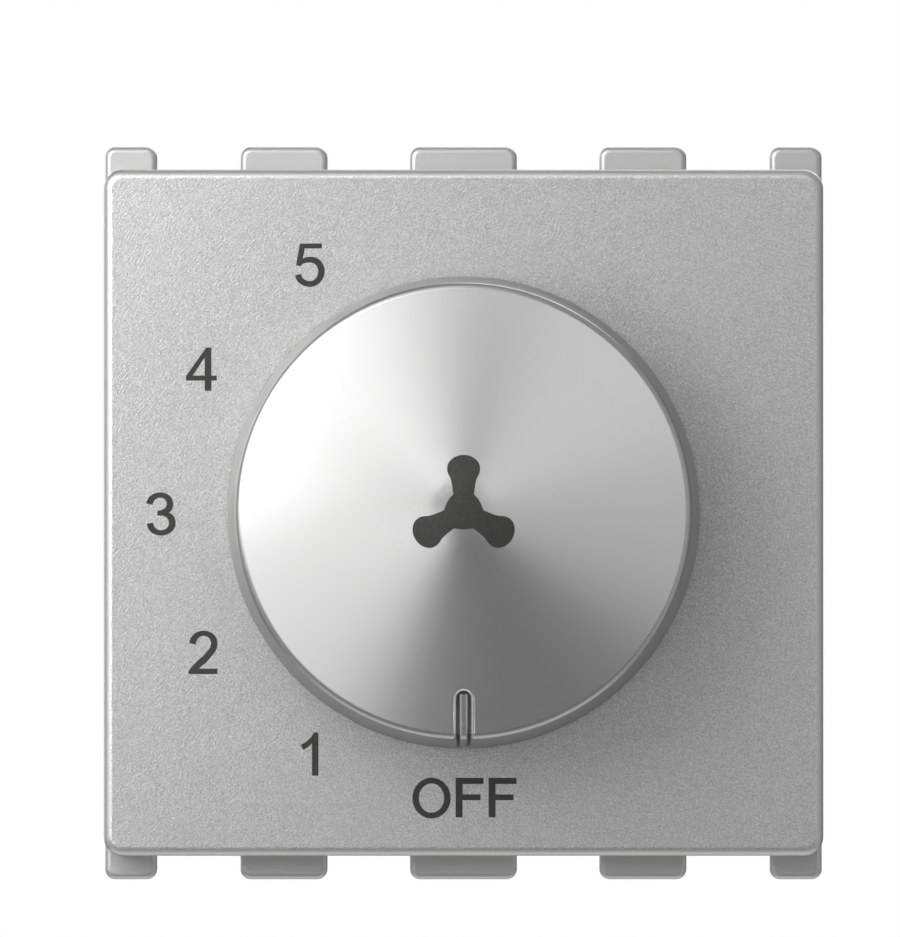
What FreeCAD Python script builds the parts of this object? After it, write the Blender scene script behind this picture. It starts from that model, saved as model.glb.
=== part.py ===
import FreeCAD, Part
import os
import re
import Sketcher

# Fan speed control switch: a two-module insert with a six-position dial.
# Every piece is drawn in the face frame: x to the right, y up, z toward the viewer,
# with z = 0 on the seat plane, where the rear of the tabs meets the mounting frame.
# Each finished piece is then turned so that z points up and the face looks along -y.

# Driving dimensions in millimetres and degrees
dimensions = {
    # Face and skirt
    "face_width": 45.0,
    "face_height": 42.9,
    "face_rise": 5.0,
    "face_thickness": 2.0,
    "face_corner": 1.2,
    "face_edge": 0.55,
    "skirt_wall": 1.3,
    "skirt_depth": 2.0,
    # Tabs that rest on the mounting frame
    "tab_reach": 1.5,
    "tab_thickness": 1.5,
    "tab_corner": 0.65,
    "tab_edge": 0.35,
    "corner_tab_width": 3.25,
    "corner_tab_inset": 0.04,
    "module_tab_width": 5.45,
    "centre_tab_width": 6.7,
    # Dial
    "knob_gap": 0.4,
    "knob_base_radius": 14.75,
    "knob_front_radius": 14.15,
    "knob_height": 9.6,
    "knob_cone_angle": 8.5,
    "knob_apex_radius": 14.0,
    "knob_edge": 0.45,
    "knob_wall": 1.5,
    "knob_front_wall": 1.6,
    "knob_hub_radius": 5.2,
    "knob_rib_thickness": 1.0,
    "knob_rib_height": 3.0,
    "pointer_width": 0.88,
    "pointer_length": 3.0,
    "pointer_depth": 0.8,
    "pointer_side_depth": 0.35,
    "pointer_bevel": 0.26,
    "pointer_rib_width": 0.5,
    "pointer_rib_drop": 0.1,
    "pointer_rib_inset": 0.2,
    "pointer_rib_root": 0.3,
    "pointer_rib_edge": 0.12,
    # Spindle and the fits around it
    "spindle_radius": 3.0,
    "spindle_flat": 1.6,
    "spindle_reach": 9.4,
    "collar_radius": 4.6,
    "collar_thickness": 1.2,
    "pivot_radius": 2.0,
    "pivot_recess": 0.3,
    "running_clearance": 0.05,
    "push_clearance": 0.04,
    "end_play": 0.1,
    # Rotary switch
    "switch_width": 26.0,
    "switch_corner": 1.5,
    "switch_depth": 10.5,
    "switch_plate": 1.5,
    "switch_floor": 2.0,
    "bush_radius": 4.5,
    "bush_reach": 3.4,
    "bush_clearance": 0.1,
    "nut_flats": 12.0,
    "nut_height": 2.0,
    "washer_radius": 6.6,
    "washer_thickness": 0.5,
    "washer_tooth_width": 0.9,
    "rotor_radius": 9.0,
    "rotor_thickness": 5.0,
    "rotor_clearance": 0.6,
    "step_angle": 30.0,
    "step_count": 5.0,
    "stop_ring_radius": 6.8,
    "stop_peg_radius": 0.9,
    "stop_ring_width": 2.6,
    "stop_margin": 0.6,
    "stop_air": 0.15,
    "notch_radius": 1.2,
    "notch_depth": 0.65,
    # Detent spring
    "spring_thickness": 0.35,
    "spring_width": 3.6,
    "spring_half_length": 8.0,
    "spring_nose_width": 2.6,
    "spring_offset": 2.0,
    "spring_end_gap": 0.4,
    "nose_gap": 0.08,
    # Contacts
    "contact_ring_radius": 7.0,
    "contact_head_radius": 1.2,
    "contact_head": 0.8,
    "contact_pin_radius": 0.5,
    "contact_pin_reach": 0.8,
    "contact_gap": 0.05,
    "common_ring_radius": 4.4,
    "common_width": 1.4,
    "bridge_width": 2.4,
    "bridge_thickness": 0.5,
    "bridge_end": 1.2,
    "dimple_radius": 0.7,
    "stake_radius": 0.5,
    "stake_gap": 0.3,
    # Small screws
    "switch_screw_inset": 2.4,
    "switch_screw_radius": 0.9,
    "switch_screw_head_radius": 1.7,
    "switch_screw_head": 0.8,
    "switch_screw_length": 7.0,
    "board_screw_radius": 1.0,
    "board_screw_head_radius": 1.9,
    "board_screw_head": 1.4,
    "board_screw_length": 7.0,
    "screw_clearance": 0.1,
    "driver_slot_width": 0.6,
    "driver_slot_depth": 0.6,
    # Circuit board and the parts on it
    "board_thickness": 1.6,
    "board_clearance": 0.4,
    "lead_radius": 0.35,
    "lead_clearance": 0.15,
    "lead_reach": 1.2,
    "capacitor_margin": 0.9,
    "capacitor_spacing": 0.9,
    "capacitor_air": 2.2,
    "capacitor_foot": 1.1,
    "capacitor_foot_length": 1.2,
    "capacitor_edge": 0.7,
    "large_length": 31.0,
    "large_width": 11.0,
    "large_pitch": 27.5,
    "small_length": 26.0,
    "small_width": 8.5,
    "small_pitch": 22.5,
    "series_radius": 1.7,
    "series_length": 8.0,
    "bleed_radius": 1.25,
    "bleed_length": 6.3,
    "resistor_spacing": 13.4,
    "resistor_tail": 1.8,
    "resistor_lift": 0.6,
    # Terminals
    "terminal_spacing": 11.0,
    "cage_width": 7.0,
    "cage_depth": 6.2,
    "cage_side_wall": 1.2,
    "cage_floor": 1.2,
    "cage_nut": 2.5,
    "cage_board_gap": 0.7,
    "cage_wall_gap": 0.4,
    "wire_space": 3.6,
    "bar_thickness": 1.2,
    "bar_side_gap": 0.3,
    "bar_nut_gap": 0.7,
    "bar_leg_gap": 0.8,
    "bar_pin_width": 1.6,
    "bar_pin_recess": 0.2,
    "screw_radius": 1.75,
    "screw_thread_gap": 0.08,
    "screw_tip_gap": 0.05,
    "screw_head_radius": 2.75,
    "screw_head": 2.0,
    "screw_head_gap": 0.2,
    "screw_slot_width": 0.9,
    "screw_slot_depth": 1.1,
    # Housing
    "housing_depth": 30.0,
    "housing_inset": 0.6,
    "housing_corner": 1.6,
    "housing_rear_edge": 0.8,
    "rear_wall": 1.6,
    "lap_clearance": 0.1,
    "lap_gap": 0.2,
    "tongue_wall": 1.2,
    "post_radius": 2.4,
    "post_inset": 3.0,
    "guide_gap": 0.25,
    "guide_thickness": 1.0,
    "guide_board_gap": 0.6,
    "wire_hole_radius": 1.75,
    "driver_hole_radius": 2.3,
    "vent_length": 20.0,
    "vent_width": 1.6,
    "vent_pitch": 4.0,
    "vent_drop": 5.0,
    "vent_count": 5.0,
    # Latches to the mounting frame and snaps between cover and housing
    "frame_grip": 4.0,
    "latch_clearance": 0.1,
    "latch_width": 4.0,
    "latch_length": 9.0,
    "latch_hook": 1.0,
    "latch_slit": 0.8,
    "snap_length": 6.0,
    "snap_height": 0.7,
    "snap_depth": 1.6,
    "snap_setback": 0.6,
    "snap_clearance": 0.15,
    "snap_spacing": 22.0,
}

doc = FreeCAD.newDocument("fan_speed_control")
sheet = doc.addObject("Spreadsheet::Sheet", "Dims")
for row, (alias, number) in enumerate(dimensions.items(), 1):
    sheet.set(f"A{row}", alias)
    sheet.set(f"B{row}", str(number))
    sheet.setAlias(f"B{row}", alias)
doc.recompute()

vector = FreeCAD.Vector

# Heights along z and half sizes that several pieces share
cover_back = "(face_rise - face_thickness)"
plate_back = f"({cover_back} - switch_plate)"
board_front = f"({plate_back} - switch_depth)"
board_back = f"({board_front} - board_thickness)"
rear_inside = "(rear_wall - housing_depth)"
collar_front = f"({plate_back} - end_play)"
rotor_front = f"({collar_front} - collar_thickness)"
rotor_back = f"({rotor_front} - rotor_thickness)"
floor_top = f"({board_front} + switch_floor)"
bridge_back = f"({rotor_back} - bridge_thickness)"
bush_front = "(face_rise + bush_reach)"
knob_base = "(face_rise + knob_gap)"
knob_edge_level = f"({knob_base} + knob_height)"
spindle_front = f"({knob_base} + spindle_reach)"
spindle_back = f"({board_front} + pivot_recess)"
half_face_w = "(face_width / 2)"
half_face_h = "(face_height / 2)"
half_skirt_w = f"({half_face_w} - skirt_wall)"
half_skirt_h = f"({half_face_h} - skirt_wall)"
half_tongue_w = f"({half_skirt_w} - lap_clearance)"
half_tongue_h = f"({half_skirt_h} - lap_clearance)"
half_cavity_w = f"({half_tongue_w} - tongue_wall)"
half_cavity_h = f"({half_tongue_h} - tongue_wall)"
half_box_w = f"({half_face_w} - housing_inset)"
half_box_h = f"({half_face_h} - housing_inset)"
half_switch = "(switch_width / 2)"
travel = "(step_angle * step_count)"
switch_screw_at = f"({half_switch} - switch_screw_inset)"
post_x = f"({half_cavity_w} - post_inset)"
post_y = f"({half_cavity_h} - post_inset)"

# Heights and places of the terminals
cage_front = f"({board_back} - cage_board_gap)"
wire_front = f"({cage_front} - cage_floor)"
bar_front = f"({wire_front} - wire_space)"
bar_back = f"({bar_front} - bar_thickness)"
nut_front = f"({bar_back} - bar_nut_gap)"
cage_back = f"({nut_front} - cage_nut)"
screw_tip = f"({bar_back} - screw_tip_gap)"
screw_end = f"({rear_inside} + screw_head_gap)"
screw_neck = f"({screw_end} + screw_head)"
cage_low = f"(-{half_cavity_h} + cage_wall_gap)"
cage_high = f"({cage_low} + cage_depth)"
cage_middle = f"({cage_low} + cage_depth / 2)"
half_cage = "(cage_width / 2)"
half_window = f"({half_cage} - cage_side_wall)"
half_bar = f"({half_window} - bar_side_gap)"
leg_low = f"({cage_high} + bar_leg_gap)"
leg_high = f"({leg_low} + bar_thickness)"

# Places of the parts on the board
small_high = f"({half_cavity_h} - capacitor_margin)"
small_low = f"({small_high} - small_width)"
large_high = f"({small_low} - capacitor_spacing)"
large_low = f"({large_high} - large_width)"
capacitor_back = f"({rear_inside} + capacitor_air)"
resistor_x = f"(({half_switch} + {half_cavity_w}) / 2)"


def formula(text):
    return re.sub(r"[a-z_][a-z0-9_]*", lambda word: "Dims." + word[0] if word[0] in dimensions else word[0], text)


def value(text):
    return float(sheet.evalExpression(formula(text)))


def bind(item, **texts):
    for name, text in texts.items():
        item.setExpression(name.replace("__", "."), formula(text))
    return item


def label(item, name):
    item.Label = name
    return item


# Solids from primitives, placed by formulas

def box(name, x, y, z):
    made = doc.addObject("Part::Box", name)
    for side, axis, (low, high) in (("Length", "x", x), ("Width", "y", y), ("Height", "z", z)):
        made.setExpression(side, formula(f"({high}) - ({low})"))
        made.setExpression("Placement.Base." + axis, formula(low))
    return made


turned = {
    "x": FreeCAD.Rotation(vector(0, 1, 0), 90),
    "y": FreeCAD.Rotation(vector(1, 0, 0), -90),
    "z": FreeCAD.Rotation(),
}


def rod(name, radius, span, x="0", y="0", z="0", axis="z"):
    made = doc.addObject("Part::Cylinder", name)
    made.Placement = FreeCAD.Placement(vector(), turned[axis])
    low, high = span
    places = {"x": x, "y": y, "z": z, axis: low}
    bind(made, Radius=radius, Height=f"({high}) - ({low})")
    for name, text in places.items():
        made.setExpression("Placement.Base." + name, formula(text))
    return made


def cone(name, first, second, span, x="0", y="0"):
    made = doc.addObject("Part::Cone", name)
    low, high = span
    bind(made, Radius1=first, Radius2=second, Height=f"({high}) - ({low})")
    return bind(made, Placement__Base__x=x, Placement__Base__y=y, Placement__Base__z=low)


def ball(name, radius, x, y, z):
    made = bind(doc.addObject("Part::Sphere", name), Radius=radius)
    return bind(made, Placement__Base__x=x, Placement__Base__y=y, Placement__Base__z=z)


def fuse(name, pieces):
    made = doc.addObject("Part::MultiFuse", name)
    made.Shapes = pieces
    made.Refine = True
    return made


def cut(name, base, tools):
    made = doc.addObject("Part::Cut", name)
    made.Base = base
    made.Tool = tools[0] if len(tools) == 1 else fuse(name + "_tools", tools)
    made.Refine = True
    return made


def group(name, pieces):
    made = doc.addObject("Part::Compound", name)
    made.Links = pieces
    return made


def soften(name, base, radius, chosen):
    doc.recompute()
    made = doc.addObject("Part::Fillet", name)
    made.Base = base
    size = value(radius)
    made.Edges = [(number, size, size) for number, edge in enumerate(base.Shape.Edges, 1) if chosen(edge)]
    return made


# Bodies from sketches

def new_body(name):
    return label(doc.addObject("PartDesign::Body", name), name)


def new_sketch(body, name, plane="XY_Plane", level="0"):
    made = body.newObject("Sketcher::SketchObject", name)
    support = next(item for item in body.Origin.OriginFeatures if item.Role == plane)
    made.AttachmentSupport = [(support, "")]
    made.MapMode = "FlatFace"
    made.setExpression("AttachmentOffset.Base.z", formula(level))
    return made


def locate(sketch, geometry, point, place):
    for direction, axis, text in (("DistanceX", -2, place[0]), ("DistanceY", -1, place[1])):
        if text == "0":
            sketch.addConstraint(Sketcher.Constraint("PointOnObject", geometry, point, axis))
        else:
            made = Sketcher.Constraint(direction, -1, 1, geometry, point, value(text))
            number = sketch.addConstraint(made)
            sketch.setExpression(f"Constraints[{number}]", formula(text))


def spot(place):
    return vector(value(place[0]), value(place[1]), 0)


def draw_lines(sketch, places, closed=True):
    first = sketch.GeometryCount
    spots = [spot(place) for place in places]
    ends = spots[1:] + spots[:1] if closed else spots[1:]
    for start, end in zip(spots, ends):
        sketch.addGeometry(Part.LineSegment(start, end), False)
    count = len(ends)
    for step in range(count if closed else count - 1):
        joint = Sketcher.Constraint("Coincident", first + step, 2, first + (step + 1) % count, 1)
        sketch.addConstraint(joint)
    for step, place in enumerate(places[:count]):
        locate(sketch, first + step, 1, place)
    if not closed:
        locate(sketch, first + count - 1, 2, places[-1])
    return first


def draw_rectangle(sketch, x, y):
    return draw_lines(sketch, [(x[0], y[0]), (x[1], y[0]), (x[1], y[1]), (x[0], y[1])])


def draw_circle(sketch, radius, x="0", y="0"):
    number = sketch.addGeometry(Part.Circle(vector(value(x), value(y), 0), vector(0, 0, 1), value(radius)), False)
    size = sketch.addConstraint(Sketcher.Constraint("Radius", number, value(radius)))
    sketch.setExpression(f"Constraints[{size}]", formula(radius))
    locate(sketch, number, 3, (x, y))


def add(body, kind, name, **settings):
    made = body.newObject("PartDesign::" + kind, name)
    for setting, content in settings.items():
        setattr(made, setting, content)
    body.Tip = made
    return made


def pad(body, sketch, length):
    return bind(add(body, "Pad", sketch.Name + "_pad", Profile=sketch), Length=length)


def pocket(body, sketch, length, forward=False):
    made = add(body, "Pocket", sketch.Name + "_pocket", Profile=sketch, Reversed=forward)
    return bind(made, Length=length)


def revolve(body, sketch):
    made = add(body, "Revolution", sketch.Name + "_turn", Profile=sketch)
    made.ReferenceAxis = (sketch, ["V_Axis"])
    made.Angle = 360
    return made


def round_off(body, name, radius, chosen):
    doc.recompute()
    base = body.Tip
    edges = [f"Edge{number}" for number, edge in enumerate(base.Shape.Edges, 1) if chosen(edge)]
    return bind(add(body, "Fillet", name, Base=(base, edges)), Radius=radius)


def polar(body, feature, count):
    made = add(body, "PolarPattern", feature.Name + "_polar", Originals=[feature])
    made.Axis = (feature.Profile[0], ["N_Axis"])
    made.Angle = 360
    made.Occurrences = count
    return made


def upright(edge):
    return isinstance(edge.Curve, Part.Line) and abs(edge.tangentAt(edge.FirstParameter).z) > 0.999


def at_level(edge, level):
    box_of_edge = edge.BoundBox
    return abs(box_of_edge.ZMin - level) < 1e-4 and abs(box_of_edge.ZMax - level) < 1e-4


def make_front_cover():
    body = new_body("front_cover")
    outline = new_sketch(body, "cover_outline", level="-skirt_depth")
    draw_rectangle(outline, (f"-{half_face_w}", half_face_w), (f"-{half_face_h}", half_face_h))
    pad(body, outline, "face_rise + skirt_depth")
    round_off(body, "cover_corners", "face_corner", upright)
    front = value("face_rise")
    round_off(body, "cover_edge", "face_edge", lambda edge: at_level(edge, front))
    hollow = new_sketch(body, "cover_hollow", level="-skirt_depth")
    draw_rectangle(hollow, (f"-{half_skirt_w}", half_skirt_w), (f"-{half_skirt_h}", half_skirt_h))
    pocket(body, hollow, f"{cover_back} + skirt_depth", forward=True)
    # Five tabs on each side: half tabs at the corners, one per module and one on the joint of the modules
    inner = f"({half_face_h} - skirt_wall / 2)"
    outer = f"({half_face_h} + tab_reach)"
    edge_x = f"({half_face_w} - corner_tab_inset)"
    spans = [
        (f"-{edge_x}", f"-{edge_x} + corner_tab_width"),
        ("-face_width / 4 - module_tab_width / 2", "-face_width / 4 + module_tab_width / 2"),
        ("-centre_tab_width / 2", "centre_tab_width / 2"),
        ("face_width / 4 - module_tab_width / 2", "face_width / 4 + module_tab_width / 2"),
        (f"{edge_x} - corner_tab_width", edge_x),
    ]
    for side, sign in (("upper", ""), ("lower", "-")):
        tabs = new_sketch(body, side + "_tabs")
        for span in spans:
            draw_rectangle(tabs, span, (sign + inner, sign + outer))
        pad(body, tabs, "tab_thickness")
    reach = value(outer)
    round_off(body, "tab_corners", "tab_corner",
              lambda edge: upright(edge) and abs(abs(edge.CenterOfMass.y) - reach) < 1e-4)
    tab_front = value("tab_thickness")
    face_half = value(half_face_h)
    round_off(body, "tab_edges", "tab_edge",
              lambda edge: at_level(edge, tab_front) and abs(edge.CenterOfMass.y) > face_half + 1e-3)
    opening = new_sketch(body, "bush_opening", level="face_rise")
    draw_circle(opening, "bush_radius + bush_clearance")
    pocket(body, opening, "face_thickness * 2")
    # Windows in the side walls for the snaps of the housing
    windows = new_sketch(body, "snap_windows", "YZ_Plane", f"-{half_face_w} - 1")
    low = "(-skirt_depth + snap_setback)"
    high = f"({low} + snap_depth + 2 * snap_clearance)"
    for place in ("-snap_spacing / 2", "snap_spacing / 2"):
        draw_rectangle(windows, (f"{place} - snap_length / 2 - snap_clearance",
                                 f"{place} + snap_length / 2 + snap_clearance"), (low, high))
    pocket(body, windows, "face_width + 2", forward=True)
    return body


def make_knob():
    body = new_body("knob")
    # Shell, front wall and hub in one turned outline
    shell = new_sketch(body, "knob_section", "XZ_Plane")
    hub_base = f"({bush_front} + knob_gap)"
    inner_front = f"({knob_edge_level} - knob_front_wall)"
    angle = "knob_cone_angle"
    # Tangent points of the rounded rim between the conical front and the drafted side
    draft = "atan((knob_base_radius - knob_front_radius) / knob_height)"
    setback = f"(knob_edge / tan(45 deg + ({angle} * 1 deg + {draft}) / 2))"
    side_end = (f"(knob_front_radius + {setback} * sin({draft}))", f"({knob_edge_level} - {setback} * cos({draft}))")
    front_end = (f"(knob_front_radius - {setback} * cos({angle}))", f"({knob_edge_level} + {setback} * sin({angle}))")
    first = draw_lines(shell, [
        side_end,
        ("knob_base_radius", knob_base),
        ("knob_base_radius - knob_wall", knob_base),
        ("knob_front_radius - knob_wall", inner_front),
        ("knob_hub_radius", inner_front),
        ("knob_hub_radius", hub_base),
        ("0", hub_base),
    ], closed=False)
    last = first + 5
    # Rounded apex, tangent to the cone
    turn = f"(knob_apex_radius * sin({angle}))"
    blend_z = f"({knob_edge_level} + (knob_front_radius - {turn}) * tan({angle}))"
    centre_z = f"({blend_z} - knob_apex_radius * cos({angle}))"
    rim_centre = (f"({side_end[0]} - knob_edge * cos({draft}))", f"({side_end[1]} - knob_edge * sin({draft}))")
    degree = 3.141592653589793 / 180
    slant = value(angle)
    circle = Part.Circle(spot(rim_centre), vector(0, 0, 1), value("knob_edge"))
    rim = shell.addGeometry(Part.ArcOfCircle(circle, value(draft) * degree, (90 - slant) * degree), False)
    slope = shell.addGeometry(Part.LineSegment(spot(front_end), spot((turn, blend_z))), False)
    circle = Part.Circle(spot(("0", centre_z)), vector(0, 0, 1), value("knob_apex_radius"))
    dome = shell.addGeometry(Part.ArcOfCircle(circle, (90 - slant) * degree, 90 * degree), False)
    apex = spot(("0", f"{centre_z} + knob_apex_radius"))
    axis = shell.addGeometry(Part.LineSegment(apex, spot(("0", hub_base))), False)
    for one, one_end, other, other_end in ((rim, 1, first, 1), (rim, 2, slope, 1), (slope, 2, dome, 1),
                                           (dome, 2, axis, 1), (axis, 2, last, 2)):
        shell.addConstraint(Sketcher.Constraint("Coincident", one, one_end, other, other_end))
    locate(shell, slope, 1, front_end)
    locate(shell, slope, 2, (turn, blend_z))
    locate(shell, dome, 3, ("0", centre_z))
    shell.addConstraint(Sketcher.Constraint("PointOnObject", dome, 2, -2))
    radius = shell.addConstraint(Sketcher.Constraint("Radius", rim, value("knob_edge")))
    shell.setExpression(f"Constraints[{radius}]", formula("knob_edge"))
    revolve(body, shell)
    # Six ribs between hub and shell
    rib = new_sketch(body, "knob_rib", level=inner_front)
    draw_rectangle(rib, ("knob_hub_radius - 0.5", "knob_front_radius - knob_wall / 2"),
                   ("-knob_rib_thickness / 2", "knob_rib_thickness / 2"))
    rib_pad = pad(body, rib, "knob_rib_height")
    rib_pad.Reversed = True
    polar(body, rib_pad, 6)
    # Bore for the flatted spindle
    bore = new_sketch(body, "knob_bore", level=hub_base)
    draw_d_hole(bore, "(spindle_radius + push_clearance)", "(spindle_flat + push_clearance)")
    pocket(body, bore, f"{spindle_front} + end_play - {hub_base}", forward=True)
    # Pointer slot that runs over the rim and down the side, with a rib standing in it
    slot_floor = f"({knob_edge_level} - pointer_depth)"
    slot_end = "(knob_front_radius - pointer_length)"
    half = "(pointer_width / 2)"
    slot = new_sketch(body, "pointer_slot", level=slot_floor)
    draw_slot(slot, half, slot_end, "knob_base_radius + 1")
    pocket(body, slot, "knob_height", forward=True)
    mouth = value(f"{slot_floor} + pointer_depth / 4")
    reach = value(slot_end) - 0.1
    round_off(body, "pointer_lip", "pointer_bevel",
              lambda edge: edge.CenterOfMass.y < -reach and abs(edge.CenterOfMass.x) < value("pointer_width")
              and edge.CenterOfMass.z > mouth and not upright(edge))
    side_floor = "(knob_front_radius - pointer_side_depth)"
    groove = new_sketch(body, "pointer_side_groove", level=knob_base)
    draw_rectangle(groove, (f"-{half}", half), ("-knob_base_radius - 1", f"-{side_floor}"))
    pocket(body, groove, f"{slot_floor} - {knob_base} + pointer_depth / 2", forward=True)
    rib_low = f"({slot_end} + pointer_rib_inset)"
    rib_root = f"({side_floor} - pointer_rib_root)"
    marker = new_sketch(body, "pointer_rib", "YZ_Plane", "-pointer_rib_width / 2")
    rise = f"(pointer_length - pointer_rib_inset) * tan({angle})"
    draw_lines(marker, [
        (f"-{rib_low}", f"{slot_floor} - pointer_rib_root"),
        (f"-{rib_low}", f"{knob_edge_level} + {rise} - pointer_rib_drop"),
        ("-knob_front_radius + knob_edge / 2", f"{knob_edge_level} - pointer_rib_drop"),
        ("-knob_front_radius", f"{knob_edge_level} - knob_edge - pointer_rib_drop"),
        ("-knob_base_radius + pointer_rib_drop", knob_base),
        (f"-{rib_root}", knob_base),
        (f"-{rib_root}", f"{slot_floor} - pointer_rib_root"),
    ])
    pad(body, marker, "pointer_rib_width")
    rib_side = value("pointer_rib_width / 2")
    rim_reach = value("knob_front_radius")
    base = value(knob_base) + value("pointer_rib_edge")
    round_off(body, "pointer_rib_edges", "pointer_rib_edge",
              lambda edge: edge.CenterOfMass.y < -reach and not upright(edge)
              and (edge.CenterOfMass.z > mouth or (edge.CenterOfMass.y < -rim_reach and edge.CenterOfMass.z > base))
              and abs(abs(edge.BoundBox.XMin) - rib_side) < 1e-4 and edge.BoundBox.XLength < 1e-4)
    return body


def draw_d_hole(sketch, radius, flat):
    reach = (value(radius) ** 2 - value(flat) ** 2) ** 0.5
    half = f"sqrt({radius} * {radius} - {flat} * {flat})"
    turn = FreeCAD.Vector(reach, value(flat), 0)
    start = turn.getAngle(vector(1, 0, 0))
    circle = Part.Circle(vector(), vector(0, 0, 1), value(radius))
    arc = sketch.addGeometry(Part.ArcOfCircle(circle, 3.141592653589793 - start, 2 * 3.141592653589793 + start), False)
    line = sketch.addGeometry(Part.LineSegment(turn, vector(-reach, value(flat), 0)), False)
    sketch.addConstraint(Sketcher.Constraint("Coincident", arc, 2, line, 1))
    sketch.addConstraint(Sketcher.Constraint("Coincident", line, 2, arc, 1))
    locate(sketch, arc, 3, ("0", "0"))
    locate(sketch, line, 1, (half, flat))
    sketch.addConstraint(Sketcher.Constraint("Horizontal", line))


def draw_slot(sketch, half, near, far):
    middle = f"({near} + {half})"
    circle = Part.Circle(vector(0, -value(middle), 0), vector(0, 0, 1), value(half))
    lines = draw_lines(sketch, [(f"-{half}", f"-{middle}"), (f"-{half}", f"-({far})"),
                                (half, f"-({far})"), (half, f"-{middle}")], closed=False)
    arc = sketch.addGeometry(Part.ArcOfCircle(circle, 0, 3.141592653589793), False)
    sketch.addConstraint(Sketcher.Constraint("Coincident", arc, 1, lines + 2, 2))
    sketch.addConstraint(Sketcher.Constraint("Coincident", arc, 2, lines, 1))
    height = sketch.addConstraint(Sketcher.Constraint("DistanceY", -1, 1, arc, 3, -value(middle)))
    sketch.setExpression(f"Constraints[{height}]", formula(f"-{middle}"))


def make_switch_cover():
    plate = box("switch_plate_block", (f"-{half_switch}", half_switch), (f"-{half_switch}", half_switch),
                (plate_back, cover_back))
    plate = soften("switch_plate_corners", plate, "switch_corner", upright)
    bush = rod("bush", "bush_radius", (plate_back, bush_front))
    # Part ring under the plate that the rotor's peg meets at both ends of its travel
    ring = doc.addObject("Part::Cylinder", "stop_ring")
    swing = "(asin(stop_peg_radius / stop_ring_radius) / 1 deg + stop_margin)"
    ring_low = f"({rotor_front} + stop_air)"
    bind(ring, Radius="stop_ring_radius + stop_ring_width / 2", Height=f"{plate_back} - {ring_low}",
         Angle=f"360 - {travel} - 2 * {swing}", Placement__Base__z=ring_low)
    ring.Placement.Rotation = FreeCAD.Rotation(vector(0, 0, 1), value(f"{swing} - 90"))
    core = rod("stop_ring_core", "stop_ring_radius - stop_ring_width / 2", (f"{ring_low} - 1", plate_back))
    stop = cut("stop_ring_cut", ring, [core])
    bore = rod("bush_bore", "spindle_radius + running_clearance", (f"{plate_back} - 5", f"{bush_front} + 1"))
    holes = []
    for number, (sign_x, sign_y) in enumerate(corners(), 1):
        x, y = f"{sign_x}{switch_screw_at}", f"{sign_y}{switch_screw_at}"
        shank = "(switch_screw_radius + screw_clearance)"
        holes.append(rod(f"plate_hole_{number}", shank, (f"{plate_back} - 1", f"{cover_back} + 1"), x, y))
        holes.append(cone(f"plate_sink_{number}", shank, "switch_screw_head_radius + screw_clearance",
                          (f"{cover_back} - switch_screw_head", cover_back), x, y))
    body = fuse("switch_cover_solid", [plate, bush, stop])
    return label(cut("switch_cover", body, [bore] + holes), "switch_cover")


def corners():
    return [("-", "-"), ("", "-"), ("", ""), ("-", "")]


def make_switch_screws():
    made = []
    for number, (sign_x, sign_y) in enumerate(corners(), 1):
        x, y = f"{sign_x}{switch_screw_at}", f"{sign_y}{switch_screw_at}"
        head = cone(f"switch_head_{number}", "switch_screw_radius", "switch_screw_head_radius",
                    (f"{cover_back} - switch_screw_head", cover_back), x, y)
        shank = rod(f"switch_shank_{number}", "switch_screw_radius",
                    (f"{cover_back} - switch_screw_length", f"{cover_back} - switch_screw_head"), x, y)
        solid = fuse(f"switch_screw_{number}", [head, shank])
        slot = driver_slot(f"switch_slot_{number}", x, y, "switch_screw_head_radius", cover_back, "0.4")
        made.append(cut(f"switch_screw_cut_{number}", solid, [slot]))
    return label(group("switch_screws", made), "switch_screws")


def driver_slot(name, x, y, reach, top, depth="driver_slot_depth"):
    return box(name, (f"{x} - {reach} - 1", f"{x} + {reach} + 1"),
               (f"{y} - driver_slot_width / 2", f"{y} + driver_slot_width / 2"), (f"{top} - {depth}", f"{top} + 1"))


def make_lock_washer():
    low, high = "face_rise", "(face_rise + washer_thickness)"
    ring = rod("washer_ring", "washer_radius", (low, high))
    hole = rod("washer_hole", "bush_radius + bush_clearance", (f"{low} - 1", f"{high} + 1"))
    gaps = []
    for number in range(8):
        gap = box(f"washer_gap_{number}", ("0", "(bush_radius + washer_radius) / 2"),
                  ("-washer_tooth_width / 2", "washer_tooth_width / 2"), (f"{low} - 1", f"{high} + 1"))
        holder = doc.addObject("Part::Compound", f"washer_gap_turned_{number}")
        holder.Links = [gap]
        holder.Placement = FreeCAD.Placement(vector(), FreeCAD.Rotation(vector(0, 0, 1), 45 * number))
        gaps.append(holder)
    return label(cut("lock_washer", ring, [hole] + gaps), "lock_washer")


def make_switch_nut():
    low = "(face_rise + washer_thickness)"
    prism = doc.addObject("Part::Prism", "nut_hexagon")
    prism.Polygon = 6
    bind(prism, Circumradius="nut_flats / sqrt(3)", Height="nut_height", Placement__Base__z=low)
    bevel = cone("nut_bevel", "nut_flats / sqrt(3) + nut_height * 1.2", "nut_flats / 2 - 0.2",
                 (low, f"{low} + nut_height"))
    common = doc.addObject("Part::MultiCommon", "nut_bevelled")
    common.Shapes = [prism, bevel]
    hole = rod("nut_hole", "bush_radius + push_clearance", (f"{low} - 1", f"{low} + nut_height + 1"))
    return label(cut("switch_nut", common, [hole]), "switch_nut")


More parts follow.
